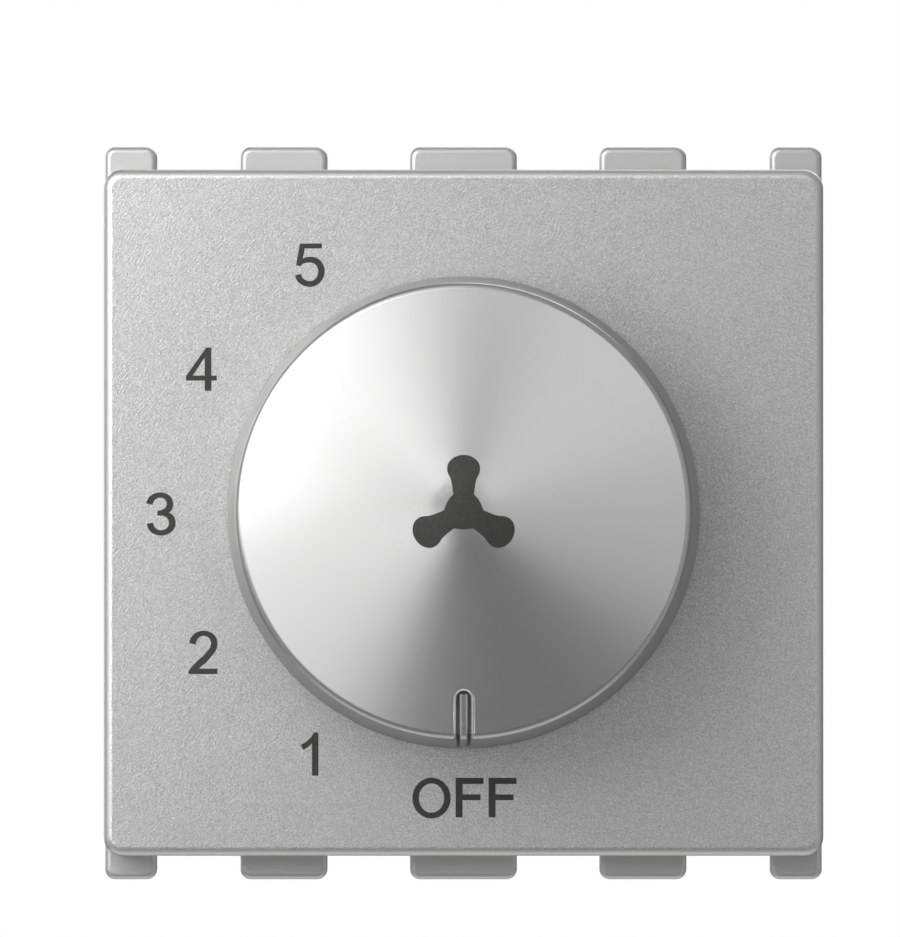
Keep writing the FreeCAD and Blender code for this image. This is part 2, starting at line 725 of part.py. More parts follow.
def make_spindle():
    body = new_body("spindle")
    section = new_sketch(body, "spindle_section", "XZ_Plane")
    chamfer = "0.4"
    draw_lines(section, [
        ("0", spindle_back),
        ("pivot_radius", spindle_back),
        ("pivot_radius", rotor_back),
        ("spindle_radius", rotor_back),
        ("spindle_radius", rotor_front),
        ("collar_radius", rotor_front),
        ("collar_radius", collar_front),
        ("spindle_radius", collar_front),
        ("spindle_radius", f"{spindle_front} - {chamfer}"),
        (f"spindle_radius - {chamfer}", spindle_front),
        ("0", spindle_front),
    ])
    revolve(body, section)
    # Flats for the dial and for the rotor
    for name, level, length in (("dial_flat", spindle_front, f"{spindle_front} - {bush_front}"),
                                ("rotor_flat", rotor_front, "rotor_thickness")):
        flat = new_sketch(body, name, level=level)
        draw_rectangle(flat, ("-spindle_radius - 1", "spindle_radius + 1"), ("spindle_flat", "spindle_radius + 2"))
        pocket(body, flat, length)
    return body


def make_rotor():
    body = new_body("rotor")
    disc = new_sketch(body, "rotor_disc", level=rotor_back)
    draw_circle(disc, "rotor_radius")
    pad(body, disc, "rotor_thickness")
    bore = new_sketch(body, "rotor_bore", level=rotor_back)
    draw_d_hole(bore, "(spindle_radius + push_clearance)", "(spindle_flat + push_clearance)")
    pocket(body, bore, "rotor_thickness + 1", forward=True)
    notch = new_sketch(body, "rotor_notch", level=rotor_back)
    draw_circle(notch, "notch_radius", "0", "rotor_radius + notch_radius - notch_depth")
    polar(body, pocket(body, notch, "rotor_thickness + 1", forward=True), 12)
    peg = new_sketch(body, "stop_peg", level=f"{rotor_front} - 0.5")
    draw_circle(peg, "stop_peg_radius", "0", "-stop_ring_radius")
    pad(body, peg, f"0.5 + {plate_back} - {rotor_front} - stop_air")
    stake = new_sketch(body, "bridge_stake", level=f"{bridge_back} - 0.2")
    draw_circle(stake, "stake_radius", "0", "(common_ring_radius + contact_ring_radius) / 2")
    pad(body, stake, "bridge_thickness + 0.7")
    return body


def make_contact_bridge():
    half = "(bridge_width / 2)"
    near = "(common_ring_radius - bridge_end)"
    far = "(contact_ring_radius + bridge_end)"
    strip = box("bridge_strip", (f"-{half}", half), (near, far), (bridge_back, rotor_back))
    strip = soften("bridge_ends", strip, "bridge_width / 4", upright)
    hole = rod("bridge_hole", "stake_radius + push_clearance", (f"{bridge_back} - 1", f"{rotor_back} + 1"),
               y="(common_ring_radius + contact_ring_radius) / 2")
    tip = f"({floor_top} + contact_head + contact_gap)"
    dimples = [rod(f"bridge_dimple_{number}", "dimple_radius", (tip, rotor_back), y=place)
               for number, place in enumerate(("common_ring_radius", "contact_ring_radius"), 1)]
    return label(cut("contact_bridge", fuse("bridge_solid", [strip] + dimples), [hole]), "contact_bridge")


def make_fixed_contacts():
    made = []
    for number in range(1, 6):
        turn = f"(90 - step_angle * {number})"
        x, y = f"contact_ring_radius * cos({turn})", f"contact_ring_radius * sin({turn})"
        head = rod(f"contact_head_{number}", "contact_head_radius", (floor_top, f"{floor_top} + contact_head"), x, y)
        pin = rod(f"contact_pin_{number}", "contact_pin_radius",
                  (f"{board_back} - contact_pin_reach", floor_top), x, y)
        made.append(fuse(f"fixed_contact_{number}", [head, pin]))
    return label(group("fixed_contacts", made), "fixed_contacts")


def make_common_contact():
    ring = rod("common_ring", "common_ring_radius + common_width / 2", (floor_top, f"{floor_top} + contact_head"))
    hole = rod("common_hole", "common_ring_radius - common_width / 2", (f"{floor_top} - 1", f"{floor_top} + 2"))
    pin = rod("common_pin", "contact_pin_radius", (f"{board_back} - contact_pin_reach", floor_top), "-common_ring_radius")
    return label(fuse("common_contact", [cut("common_washer", ring, [hole]), pin]), "common_contact")


def make_switch_body():
    block = box("switch_block", (f"-{half_switch}", half_switch), (f"-{half_switch}", half_switch),
                (board_front, plate_back))
    block = soften("switch_block_corners", block, "switch_corner", upright)
    well = rod("switch_well", "rotor_radius + rotor_clearance", (floor_top, f"{plate_back} + 1"))
    pivot = rod("pivot_hole", "pivot_radius + running_clearance", (f"{board_front} - 1", f"{floor_top} + 1"))
    length = "(spring_half_length + spring_end_gap)"
    spring_pocket = box("spring_pocket", (f"-{length}", length),
                        ("0", "rotor_radius + spring_offset + spring_thickness / 2"),
                        (spring_low(), f"{plate_back} + 1"))
    holes = []
    for number in range(1, 6):
        turn = f"(90 - step_angle * {number})"
        holes.append(rod(f"floor_hole_{number}", "contact_pin_radius + push_clearance",
                         (f"{board_front} - 1", f"{floor_top} + 1"),
                         f"contact_ring_radius * cos({turn})", f"contact_ring_radius * sin({turn})"))
    holes.append(rod("floor_hole_common", "contact_pin_radius + push_clearance",
                     (f"{board_front} - 1", f"{floor_top} + 1"), "-common_ring_radius"))
    for number, (sign_x, sign_y) in enumerate(corners(), 1):
        holes.append(rod(f"body_hole_{number}", "switch_screw_radius + push_clearance",
                         (f"{cover_back} - switch_screw_length - 0.4", f"{plate_back} + 1"),
                         f"{sign_x}{switch_screw_at}", f"{sign_y}{switch_screw_at}"))
    return label(cut("switch_body", block, [well, pivot, spring_pocket] + holes), "switch_body")


def spring_low():
    return f"({rotor_back} + (rotor_thickness - spring_width) / 2)"


def make_detent_spring():
    body = new_body("detent_spring")
    path = new_sketch(body, "spring_path", level=f"{spring_low()} + spring_width / 2")
    flat = "(rotor_radius + spring_offset)"
    nose = "(rotor_radius - notch_depth + nose_gap + spring_thickness)"
    draw_lines(path, [("-spring_half_length", flat), ("-spring_nose_width", flat), ("0", nose),
                      ("spring_nose_width", flat), ("spring_half_length", flat)], closed=False)
    section = new_sketch(body, "spring_section", "YZ_Plane", "-spring_half_length")
    draw_rectangle(section, (f"{flat} - spring_thickness / 2", f"{flat} + spring_thickness / 2"),
                   (spring_low(), f"{spring_low()} + spring_width"))
    add(body, "AdditivePipe", "spring_strip", Profile=section, Spine=path, Transition="Right corner")
    return body


def make_board():
    half_w = f"({half_cavity_w} - board_clearance)"
    half_h = f"({half_cavity_h} - board_clearance)"
    block = box("board_block", (f"-{half_w}", half_w), (f"-{half_h}", half_h), (board_back, board_front))
    depth = (f"{board_back} - 1", f"{board_front} + 1")
    holes = []
    for number in range(1, 6):
        turn = f"(90 - step_angle * {number})"
        holes.append(rod(f"board_contact_{number}", "contact_pin_radius + lead_clearance", depth,
                         f"contact_ring_radius * cos({turn})", f"contact_ring_radius * sin({turn})"))
    holes.append(rod("board_common", "contact_pin_radius + lead_clearance", depth, "-common_ring_radius"))
    for number, (sign_x, sign_y) in enumerate(corners(), 1):
        holes.append(rod(f"board_screw_hole_{number}", "board_screw_radius + screw_clearance", depth,
                         f"{sign_x}{post_x}", f"{sign_y}{post_y}"))
    for name, pitch, middle in capacitor_rows():
        for side, sign in (("left", "-"), ("right", "")):
            holes.append(rod(f"board_{name}_{side}", "lead_radius + lead_clearance", depth,
                             f"{sign}{pitch} / 2", middle))
    for name, x, y, radius, length in resistor_rows():
        for side, sign in (("low", "-"), ("high", "+")):
            holes.append(rod(f"board_{name}_{side}", "lead_radius + lead_clearance", depth,
                             x, f"{y} {sign} ({length} / 2 + resistor_tail)"))
    for name, x in terminal_rows():
        holes.append(box(f"board_{name}_slot", (f"{x} - bar_pin_width / 2 - lead_clearance",
                                                f"{x} + bar_pin_width / 2 + lead_clearance"),
                         (f"{leg_low} - lead_clearance", f"{leg_high} + lead_clearance"), depth))
    return label(cut("pcb", block, holes), "pcb")


def make_board_screws():
    made = []
    for number, (sign_x, sign_y) in enumerate(corners(), 1):
        x, y = f"{sign_x}{post_x}", f"{sign_y}{post_y}"
        top = f"({board_front} + board_screw_head)"
        head = rod(f"board_head_{number}", "board_screw_head_radius", (board_front, top), x, y)
        shank = rod(f"board_shank_{number}", "board_screw_radius", (f"{board_front} - board_screw_length", board_front), x, y)
        solid = fuse(f"board_screw_{number}", [head, shank])
        made.append(cut(f"board_screw_cut_{number}", solid,
                        [driver_slot(f"board_slot_{number}", x, y, "board_screw_head_radius", top)]))
    return label(group("pcb_screws", made), "pcb_screws")


def capacitor_rows():
    return [("large", "large_pitch", f"({large_low} + large_width / 2)"),
            ("small", "small_pitch", f"({small_low} + small_width / 2)")]


def make_capacitor(name, row, length, low, high):
    row_name, pitch, middle = row
    # Case on two moulded feet, so that its base clears the solder joints of the switch
    case_front = f"({board_back} - capacitor_foot)"
    case = box(name + "_case", (f"-{length} / 2", f"{length} / 2"), (low, high), (capacitor_back, case_front))
    front = value(case_front)
    case = soften(name + "_edges", case, "capacitor_edge", lambda edge: not at_level(edge, front))
    solids = [case]
    for side, sign in (("left", "-"), ("right", "")):
        end = f"({length} / 2 - capacitor_edge)"
        inner = f"({end} - capacitor_foot_length)"
        span = (f"-{end}", f"-{inner}") if sign else (inner, end)
        solids.append(box(f"{name}_foot_{side}", span, (f"{low} + capacitor_edge", f"{high} - capacitor_edge"),
                          (f"{case_front} - 0.5", board_back)))
        solids.append(rod(f"{name}_lead_{side}", "lead_radius", (f"{case_front} - 1", board_front),
                          f"{sign}{pitch} / 2", middle))
    return label(fuse(name, solids), name)


def resistor_rows():
    rows = []
    for name, sign, radius, length in (("series_resistor", "-", "series_radius", "series_length"),
                                       ("bleed_resistor", "", "bleed_radius", "bleed_length")):
        for place, side in (("lower", "-"), ("upper", "")):
            rows.append((f"{name}_{place}", f"{sign}{resistor_x}", f"{side}resistor_spacing / 2", radius, length))
    return rows


def make_resistor(name, x, y, radius, length):
    z = f"({board_front} + resistor_lift + {radius})"
    half = f"({length} / 2)"
    tail = f"({half} + resistor_tail)"
    collar = f"({length} * 0.22)"
    pieces = [rod(name + "_tube", f"{radius} * 0.86", (f"{y} - {half} + 0.2", f"{y} + {half} - 0.2"), x, z=z, axis="y")]
    for side, sign in (("low", "-"), ("high", "+")):
        end = f"{y} {sign} {half}"
        inner = f"{y} {sign} ({half} - {collar})"
        span = (end, inner) if sign == "-" else (inner, end)
        band = rod(f"{name}_band_{side}", radius, span, x, z=z, axis="y")
        pieces.append(soften(f"{name}_band_soft_{side}", band, f"{radius} * 0.35",
                             lambda edge: isinstance(edge.Curve, Part.Circle)))
        run = (f"{y} - {tail}", f"{y} - {half} + 0.5") if sign == "-" else (f"{y} + {half} - 0.5", f"{y} + {tail}")
        pieces.append(rod(f"{name}_wire_{side}", "lead_radius", run, x, z=z, axis="y"))
        pieces.append(ball(f"{name}_bend_{side}", "lead_radius", x, f"{y} {sign} {tail}", z))
        pieces.append(rod(f"{name}_leg_{side}", "lead_radius", (f"{board_back} - lead_reach", z), x, f"{y} {sign} {tail}"))
    return label(fuse(name, pieces), name)


def terminal_rows():
    return [("line", "(-terminal_spacing / 2)"), ("load", "(terminal_spacing / 2)")]


def make_terminal(name, x):
    # Fixed bar: tongue through the cage, leg to the board and a pin through it
    tongue = box(name + "_tongue", (f"{x} - {half_bar}", f"{x} + {half_bar}"), (f"{cage_low} + 0.6", leg_high),
                 (bar_back, bar_front))
    leg = box(name + "_leg", (f"{x} - {half_bar}", f"{x} + {half_bar}"), (leg_low, leg_high), (bar_back, board_back))
    pin = box(name + "_pin", (f"{x} - bar_pin_width / 2", f"{x} + bar_pin_width / 2"), (leg_low, leg_high),
              (f"{board_back} - 1", f"{board_front} - bar_pin_recess"))
    bar = label(fuse(name + "_bar", [tongue, leg, pin]), name + "_bar")
    # Cage that rises along the screw
    block = box(name + "_cage_block", (f"{x} - {half_cage}", f"{x} + {half_cage}"), (cage_low, cage_high),
                (cage_back, cage_front))
    block = soften(name + "_cage_soft", block, "0.4", upright_along_y)
    window = box(name + "_cage_window", (f"{x} - {half_window}", f"{x} + {half_window}"),
                 (f"{cage_low} - 1", f"{cage_high} + 1"), (nut_front, wire_front))
    thread = rod(name + "_cage_thread", "screw_radius + screw_thread_gap", (f"{cage_back} - 1", f"{nut_front} + 1"),
                 x, cage_middle)
    clamp = label(cut(name + "_clamp", block, [window, thread]), name + "_clamp")
    # Captive screw, its tip on the bar and its head behind the housing's hole
    shank = rod(name + "_screw_shank", "screw_radius", (screw_neck, screw_tip), x, cage_middle)
    head = rod(name + "_screw_head", "screw_head_radius", (screw_end, screw_neck), x, cage_middle)
    slot = box(name + "_screw_slot", (f"{x} - screw_head_radius - 1", f"{x} + screw_head_radius + 1"),
               (f"{cage_middle} - screw_slot_width / 2", f"{cage_middle} + screw_slot_width / 2"),
               (f"{screw_end} - 1", f"{screw_end} + screw_slot_depth"))
    screw = label(cut(name + "_screw", fuse(name + "_screw_solid", [shank, head]), [slot]), name + "_screw")
    return [bar, clamp, screw]


def upright_along_y(edge):
    return isinstance(edge.Curve, Part.Line) and abs(edge.tangentAt(edge.FirstParameter).y) > 0.999


def make_housing():
    body = new_body("housing")
    outline = new_sketch(body, "housing_outline", level="-housing_depth")
    draw_rectangle(outline, (f"-{half_box_w}", half_box_w), (f"-{half_box_h}", half_box_h))
    pad(body, outline, "housing_depth - skirt_depth")
    round_off(body, "housing_corners", "housing_corner", upright)
    back = value("-housing_depth")
    round_off(body, "housing_back_edge", "housing_rear_edge", lambda edge: at_level(edge, back))
    tongue = new_sketch(body, "housing_tongue", level="-skirt_depth - 0.5")
    draw_rectangle(tongue, (f"-{half_tongue_w}", half_tongue_w), (f"-{half_tongue_h}", half_tongue_h))
    pad(body, tongue, f"{cover_back} - lap_gap + skirt_depth + 0.5")
    # Cavity, posts for the board and guides for the clamps
    cavity = new_sketch(body, "housing_cavity", level=rear_inside)
    draw_rectangle(cavity, (f"-{half_cavity_w}", half_cavity_w), (f"-{half_cavity_h}", half_cavity_h))
    pocket(body, cavity, "housing_depth * 2", forward=True)
    posts = new_sketch(body, "board_posts", level=f"{rear_inside} - 0.4")
    for sign_x, sign_y in corners():
        draw_circle(posts, "post_radius", f"{sign_x}{post_x}", f"{sign_y}{post_y}")
    pad(body, posts, f"{board_back} - {rear_inside} + 0.4")
    pilots = new_sketch(body, "post_pilots", level=board_back)
    for sign_x, sign_y in corners():
        draw_circle(pilots, "board_screw_radius + push_clearance", f"{sign_x}{post_x}", f"{sign_y}{post_y}")
    pocket(body, pilots, "board_screw_length")
    guides = new_sketch(body, "clamp_guides", level=f"{rear_inside} - 0.4")
    for name, x in terminal_rows():
        for sign in ("-", "+"):
            inner = f"{x} {sign} ({half_cage} + guide_gap)"
            outer = f"{x} {sign} ({half_cage} + guide_gap + guide_thickness)"
            draw_rectangle(guides, (inner, outer), (f"-{half_cavity_h} - 0.4", cage_high))
    pad(body, guides, f"{board_back} - guide_board_gap - {rear_inside} + 0.4")
    # Wire entries below, screwdriver holes and vents behind
    wires = new_sketch(body, "wire_entries", "XZ_Plane", f"{half_cavity_h} - 1")
    for name, x in terminal_rows():
        draw_circle(wires, "wire_hole_radius", x, f"({wire_front} + {bar_front}) / 2")
    pocket(body, wires, "housing_depth", forward=True)
    drivers = new_sketch(body, "driver_holes", level=f"{rear_inside} + 0.5")
    for name, x in terminal_rows():
        draw_circle(drivers, "driver_hole_radius", x, cage_middle)
    pocket(body, drivers, "rear_wall * 2")
    vents = new_sketch(body, "vent_slots", level=f"{rear_inside} + 0.5")
    for number in range(int(value("vent_count"))):
        middle = f"({half_cavity_h} - vent_drop - vent_pitch * {number})"
        draw_rectangle(vents, ("-vent_length / 2", "vent_length / 2"),
                       (f"{middle} - vent_width / 2", f"{middle} + vent_width / 2"))
    pocket(body, vents, "rear_wall * 2")
    # Latches in the upper and lower walls, each freed by a slit around three sides
    free_end = "(-frame_grip - latch_clearance)"
    fixed_end = f"({free_end} - latch_length)"
    half = "(latch_width / 2)"
    for place, sign in (("upper", ""), ("lower", "-")):
        slits = new_sketch(body, place + "_latch_slits", "XZ_Plane", f"-{half_box_h} - 1" if not sign else f"{half_cavity_h} - 0.5")
        for side in ("-", ""):
            x = f"({side}face_width / 4)"
            draw_lines(slits, [
                (f"{x} - {half} - latch_slit", fixed_end),
                (f"{x} - {half}", fixed_end),
                (f"{x} - {half}", free_end),
                (f"{x} + {half}", free_end),
                (f"{x} + {half}", fixed_end),
                (f"{x} + {half} + latch_slit", fixed_end),
                (f"{x} + {half} + latch_slit", f"{free_end} + latch_slit"),
                (f"{x} - {half} - latch_slit", f"{free_end} + latch_slit"),
            ])
        pocket(body, slits, f"{half_box_h} - {half_cavity_h} + 1.5", forward=True)
        for side in ("-", ""):
            hook = new_sketch(body, f"{place}_hook_{'left' if side else 'right'}", "YZ_Plane",
                              f"{side}face_width / 4 - {half}")
            draw_lines(hook, [
                (f"{sign}({half_box_h} - 0.5)", free_end),
                (f"{sign}({half_box_h} + latch_hook)", free_end),
                (f"{sign}({half_box_h} + latch_hook)", f"{free_end} - latch_hook * 0.6"),
                (f"{sign}{half_box_h}", f"{free_end} - latch_hook * 4"),
                (f"{sign}({half_box_h} - 0.5)", f"{free_end} - latch_hook * 4"),
            ])
            pad(body, hook, "latch_width")
    # Snaps that catch in the windows of the cover
    low = "(-skirt_depth + snap_setback + snap_clearance)"
    high = f"({low} + snap_depth)"
    for side in ("-", ""):
        for place in ("-", ""):
            name = f"snap_{'left' if side else 'right'}_{'low' if place else 'high'}"
            snap = new_sketch(body, name, "XZ_Plane", f"-({place}snap_spacing / 2) - snap_length / 2")
            draw_lines(snap, [
                (f"{side}({half_tongue_w} - 0.5)", low),
                (f"{side}({half_tongue_w} + snap_height)", low),
                (f"{side}({half_tongue_w} + snap_height)", f"{low} + snap_depth * 0.4"),
                (f"{side}{half_tongue_w}", high),
                (f"{side}({half_tongue_w} - 0.5)", high),
            ])
            pad(body, snap, "snap_length")
    return body


pieces = [
    make_front_cover(),
    make_knob(),
    make_switch_nut(),
    make_lock_washer(),
    make_switch_cover(),
    make_spindle(),
    make_rotor(),
    make_contact_bridge(),
    make_switch_body(),
    make_fixed_contacts(),
    make_common_contact(),
    make_detent_spring(),
    make_switch_screws(),
    make_board(),
    make_board_screws(),
    make_capacitor("capacitor_large", capacitor_rows()[0], "large_length", large_low, large_high),
    make_capacitor("capacitor_small", capacitor_rows()[1], "small_length", small_low, small_high),
    make_housing(),
]
pieces += [make_resistor(*row) for row in resistor_rows()]
for name, x in terminal_rows():
    pieces += make_terminal(name, x)
doc.recompute()

# Stand every piece up: face frame (x, y, z) to row frame (x, -z, y)
standing = FreeCAD.Placement(vector(), FreeCAD.Rotation(vector(1, 0, 0), 90))
for piece in pieces:
    piece.Placement = standing
doc.recompute()

for item in doc.Objects:
    if "Invalid" in item.State or "Error" in item.State:
        raise RuntimeError(f"{item.Label} did not build: {item.State}")
os.makedirs("parts", exist_ok=True)
for piece in pieces:
    shape = piece.Shape
    if shape.isNull() or not shape.isValid() or not shape.Solids:
        raise RuntimeError(f"{piece.Label} has no valid solid")
    shape.exportStep(f"parts/{piece.Label}.step")
    size = shape.BoundBox
    print(f"{piece.Label}: {len(shape.Solids)} solid(s), {shape.Volume:.1f} mm3, "
          f"x {size.XMin:.2f} {size.XMax:.2f}, y {size.YMin:.2f} {size.YMax:.2f}, z {size.ZMin:.2f} {size.ZMax:.2f}")
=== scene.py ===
import math

import bpy
from mathutils import Matrix, Vector


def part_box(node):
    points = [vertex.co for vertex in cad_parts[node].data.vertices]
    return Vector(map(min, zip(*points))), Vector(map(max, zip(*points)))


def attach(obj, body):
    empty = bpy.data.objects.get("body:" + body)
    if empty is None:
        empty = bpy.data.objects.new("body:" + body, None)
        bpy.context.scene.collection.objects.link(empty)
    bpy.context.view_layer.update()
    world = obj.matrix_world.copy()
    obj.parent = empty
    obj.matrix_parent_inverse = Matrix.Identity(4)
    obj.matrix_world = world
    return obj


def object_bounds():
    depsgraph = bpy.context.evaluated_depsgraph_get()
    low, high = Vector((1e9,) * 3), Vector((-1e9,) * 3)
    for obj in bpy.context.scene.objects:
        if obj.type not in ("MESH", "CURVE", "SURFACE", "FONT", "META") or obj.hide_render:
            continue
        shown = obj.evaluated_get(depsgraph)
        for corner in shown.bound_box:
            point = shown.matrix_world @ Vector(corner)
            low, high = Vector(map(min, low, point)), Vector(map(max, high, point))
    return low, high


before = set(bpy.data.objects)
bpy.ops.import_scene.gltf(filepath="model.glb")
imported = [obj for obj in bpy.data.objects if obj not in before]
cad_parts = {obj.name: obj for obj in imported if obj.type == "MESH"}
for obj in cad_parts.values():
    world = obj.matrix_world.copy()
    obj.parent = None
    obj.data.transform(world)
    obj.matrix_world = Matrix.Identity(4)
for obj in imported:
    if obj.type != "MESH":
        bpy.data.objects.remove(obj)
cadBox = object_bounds()
mm = 0.001


# Small tools for the node trees of the finishes

def startFinish(name):
    finish = bpy.data.materials.new(name)
    finish.use_nodes = True
    tree = finish.node_tree
    place = tree.nodes.new("ShaderNodeTexCoord").outputs["Object"]
    return finish, tree, tree.nodes["Principled BSDF"], place


def grain(tree, place, size, detail=2.0, harshness=0.5):
    # noise whose lumps are about this size across, in metres
    noise = tree.nodes.new("ShaderNodeTexNoise")
    noise.inputs["Scale"].default_value = 1 / size
    noise.inputs["Detail"].default_value = detail
    noise.inputs["Roughness"].default_value = harshness
    tree.links.new(place, noise.inputs["Vector"])
    return noise.outputs["Fac"]


def flecks(tree, place, size):
    # a flat random tone for each small cell, like the flakes in a metallic lacquer
    cells = tree.nodes.new("ShaderNodeTexVoronoi")
    cells.inputs["Scale"].default_value = 1 / size
    tree.links.new(place, cells.inputs["Vector"])
    tone = tree.nodes.new("ShaderNodeSeparateColor")
    tree.links.new(cells.outputs["Color"], tone.inputs["Color"])
    return tone.outputs["Red"]


def stretch(tree, place, turn, scale):
    # turns and stretches the pattern, for brushed, rolled and turned surfaces
    mapping = tree.nodes.new("ShaderNodeMapping")
    mapping.inputs["Rotation"].default_value = [math.radians(angle) for angle in turn]
    mapping.inputs["Scale"].default_value = scale
    tree.links.new(place, mapping.inputs["Vector"])
    return mapping.outputs["Vector"]


def between(tree, fac, low, high, start=0.3, end=0.7):
    # spreads a noise between two numbers
    spread = tree.nodes.new("ShaderNodeMapRange")
    spread.inputs["From Min"].default_value = start
    spread.inputs["From Max"].default_value = end
    spread.inputs["To Min"].default_value = low
    spread.inputs["To Max"].default_value = high
    tree.links.new(fac, spread.inputs["Value"])
    return spread.outputs["Result"]


def tones(tree, fac, stops, steps=False):
    # a colour ramp from (position, colour) pairs
    ramp = tree.nodes.new("ShaderNodeValToRGB")
    ramp.color_ramp.interpolation = "CONSTANT" if steps else "LINEAR"
    elements = ramp.color_ramp.elements
    while len(elements) < len(stops):
        elements.new(0.5)
    for element, (position, colour) in zip(elements, stops):
        element.position = position
        element.color = (*colour, 1)
    tree.links.new(fac, ramp.inputs["Fac"])
    return ramp.outputs["Color"]


def shade(colour, factor):
    return tuple(min(1, channel * factor) for channel in colour)


def relief(tree, height, depth, strength=1.0, under=None):
    # bump of a real depth in metres, on top of another bump where there is one
    bump = tree.nodes.new("ShaderNodeBump")
    bump.inputs["Distance"].default_value = depth
    tree.links.new(height, bump.inputs["Height"])
    if isinstance(strength, float):
        bump.inputs["Strength"].default_value = strength
    else:
        tree.links.new(strength, bump.inputs["Strength"])
    if under:
        tree.links.new(under, bump.inputs["Normal"])
    return bump.outputs["Normal"]


def along(tree, place, axis):
    split = tree.nodes.new("ShaderNodeSeparateXYZ")
    tree.links.new(place, split.inputs["Vector"])
    return split.outputs[axis]


def multiply(tree, first, second):
    product = tree.nodes.new("ShaderNodeMath")
    product.operation = "MULTIPLY"
    tree.links.new(first, product.inputs[0])
    tree.links.new(second, product.inputs[1])
    return product.outputs["Value"]


def larger(tree, first, second):
    greater = tree.nodes.new("ShaderNodeMath")
    greater.operation = "MAXIMUM"
    tree.links.new(first, greater.inputs[0])
    tree.links.new(second, greater.inputs[1])
    return greater.outputs["Value"]


def measure(tree, place):
    # distance from the origin
    length = tree.nodes.new("ShaderNodeVectorMath")
    length.operation = "LENGTH"
    tree.links.new(place, length.inputs[0])
    return length.outputs["Value"]


def blend(tree, share, first, second, kind):
    # from one number or colour to another, where the share goes from 0 to 1
    mix = tree.nodes.new("ShaderNodeMix")
    mix.data_type = kind
    tree.links.new(share, mix.inputs["Factor"])
    for socket, source in zip([s for s in mix.inputs if s.enabled][1:], (first, second)):
        if isinstance(source, bpy.types.NodeSocket):
            tree.links.new(source, socket)
        else:
            socket.default_value = source
    return next(s for s in mix.outputs if s.enabled)


# Finishes of the two silver pieces

facePaint = {
    "colour": (0.78, 0.78, 0.772),
    "flakeSize": 0.055 * mm, "flakeSpread": 0.24,
    "grainSize": 0.09 * mm, "grainDepth": 0.009 * mm,
    "strokeSize": 0.10 * mm, "strokeTurn": -40, "strokeLength": 2.8, "strokeDepth": 0.0135 * mm,
    "metallic": 0.88, "roughness": (0.30, 0.40), "edgeTint": 0.55,
    # only the flat front is grained, its rounded edge is smoother to the touch and rougher; the edge and
    # everything behind the front also carry painted shade (edgeShade), a darker colour that tones down their
    # highlights
    "edgeLevel": -4.995 * mm, "edgeBlend": 0.04 * mm,
    "edgeRoughness": 0.5, "edgeShade": 0.82, "smoothShare": 0.35,
    # the spray reaches the upright sides thinly
    "sideMetallic": 0.35, "sideTurn": (0.8, 0.95),
}


def makeFacePaint(s):
    finish, tree, shader, place = startFinish("silver_face_paint")
    edge = between(tree, along(tree, place, "Y"), 0, 1, s["edgeLevel"], s["edgeLevel"] + s["edgeBlend"])
    flat = between(tree, edge, 1, s["smoothShare"], 0, 1)
    flake = flecks(tree, place, s["flakeSize"])
    colour = tones(tree, flake, [(0.0, shade(s["colour"], 1 - s["flakeSpread"])),
                                 (0.8, shade(s["colour"], 1 + s["flakeSpread"] / 2)),
                                 (1.0, shade(s["colour"], 1 + s["flakeSpread"] * 2))])
    # painted shade: the rounded edge and all behind the front take a darker colour
    paintedEdgeShade = (*shade(s["colour"], s["edgeShade"]), 1)
    tree.links.new(blend(tree, edge, colour, paintedEdgeShade, "RGBA"), shader.inputs["Base Color"])
    across = along(tree, place.node.outputs["Normal"], "X")
    flakes = between(tree, multiply(tree, across, across), s["metallic"], s["sideMetallic"], *s["sideTurn"])
    tree.links.new(flakes, shader.inputs["Metallic"])
    shader.inputs["Specular Tint"].default_value = (s["edgeTint"],) * 3 + (1,)
    lumps = grain(tree, place, s["grainSize"], 2.5, 0.6)
    rough = between(tree, lumps, *s["roughness"])
    tree.links.new(blend(tree, edge, rough, s["edgeRoughness"], "FLOAT"), shader.inputs["Roughness"])
    slanted = stretch(tree, stretch(tree, place, (0, s["strokeTurn"], 0), (1, 1, 1)), (0, 0, 0),
                      (1, 1, 1 / s["strokeLength"]))
    strokes = relief(tree, grain(tree, slanted, s["strokeSize"], 1.0), s["strokeDepth"], flat)
    tree.links.new(relief(tree, lumps, s["grainDepth"], flat, strokes), shader.inputs["Normal"])
    return finish


dialPaint = {
    "colour": (0.84, 0.84, 0.835), "sideShadeColour": (0.50, 0.50, 0.496),
    "flakeSize": 0.20 * mm, "flakeSpread": 0.006,
    "satinSize": 0.35 * mm, "satinDepth": 0.0001 * mm,
    "metallic": 0.92, "roughness": (0.225, 0.235), "edgeTint": 0.6,
    # the front is lapped smooth; its rim, the side and the pointer's slot are rougher, and painted darker as
    # painted shade for the dark rim and the shaded slot
    "rimRadius": 13.72 * mm, "rimBlend": 0.16 * mm, "slotLevel": -14.98 * mm, "slotBlend": 0.14 * mm,
    "sideRoughness": 0.36,
    # the lapping runs softly over the rounded point
    "pointBlend": 0.7 * mm, "pointReach": (2.6 * mm, 3.4 * mm),
}


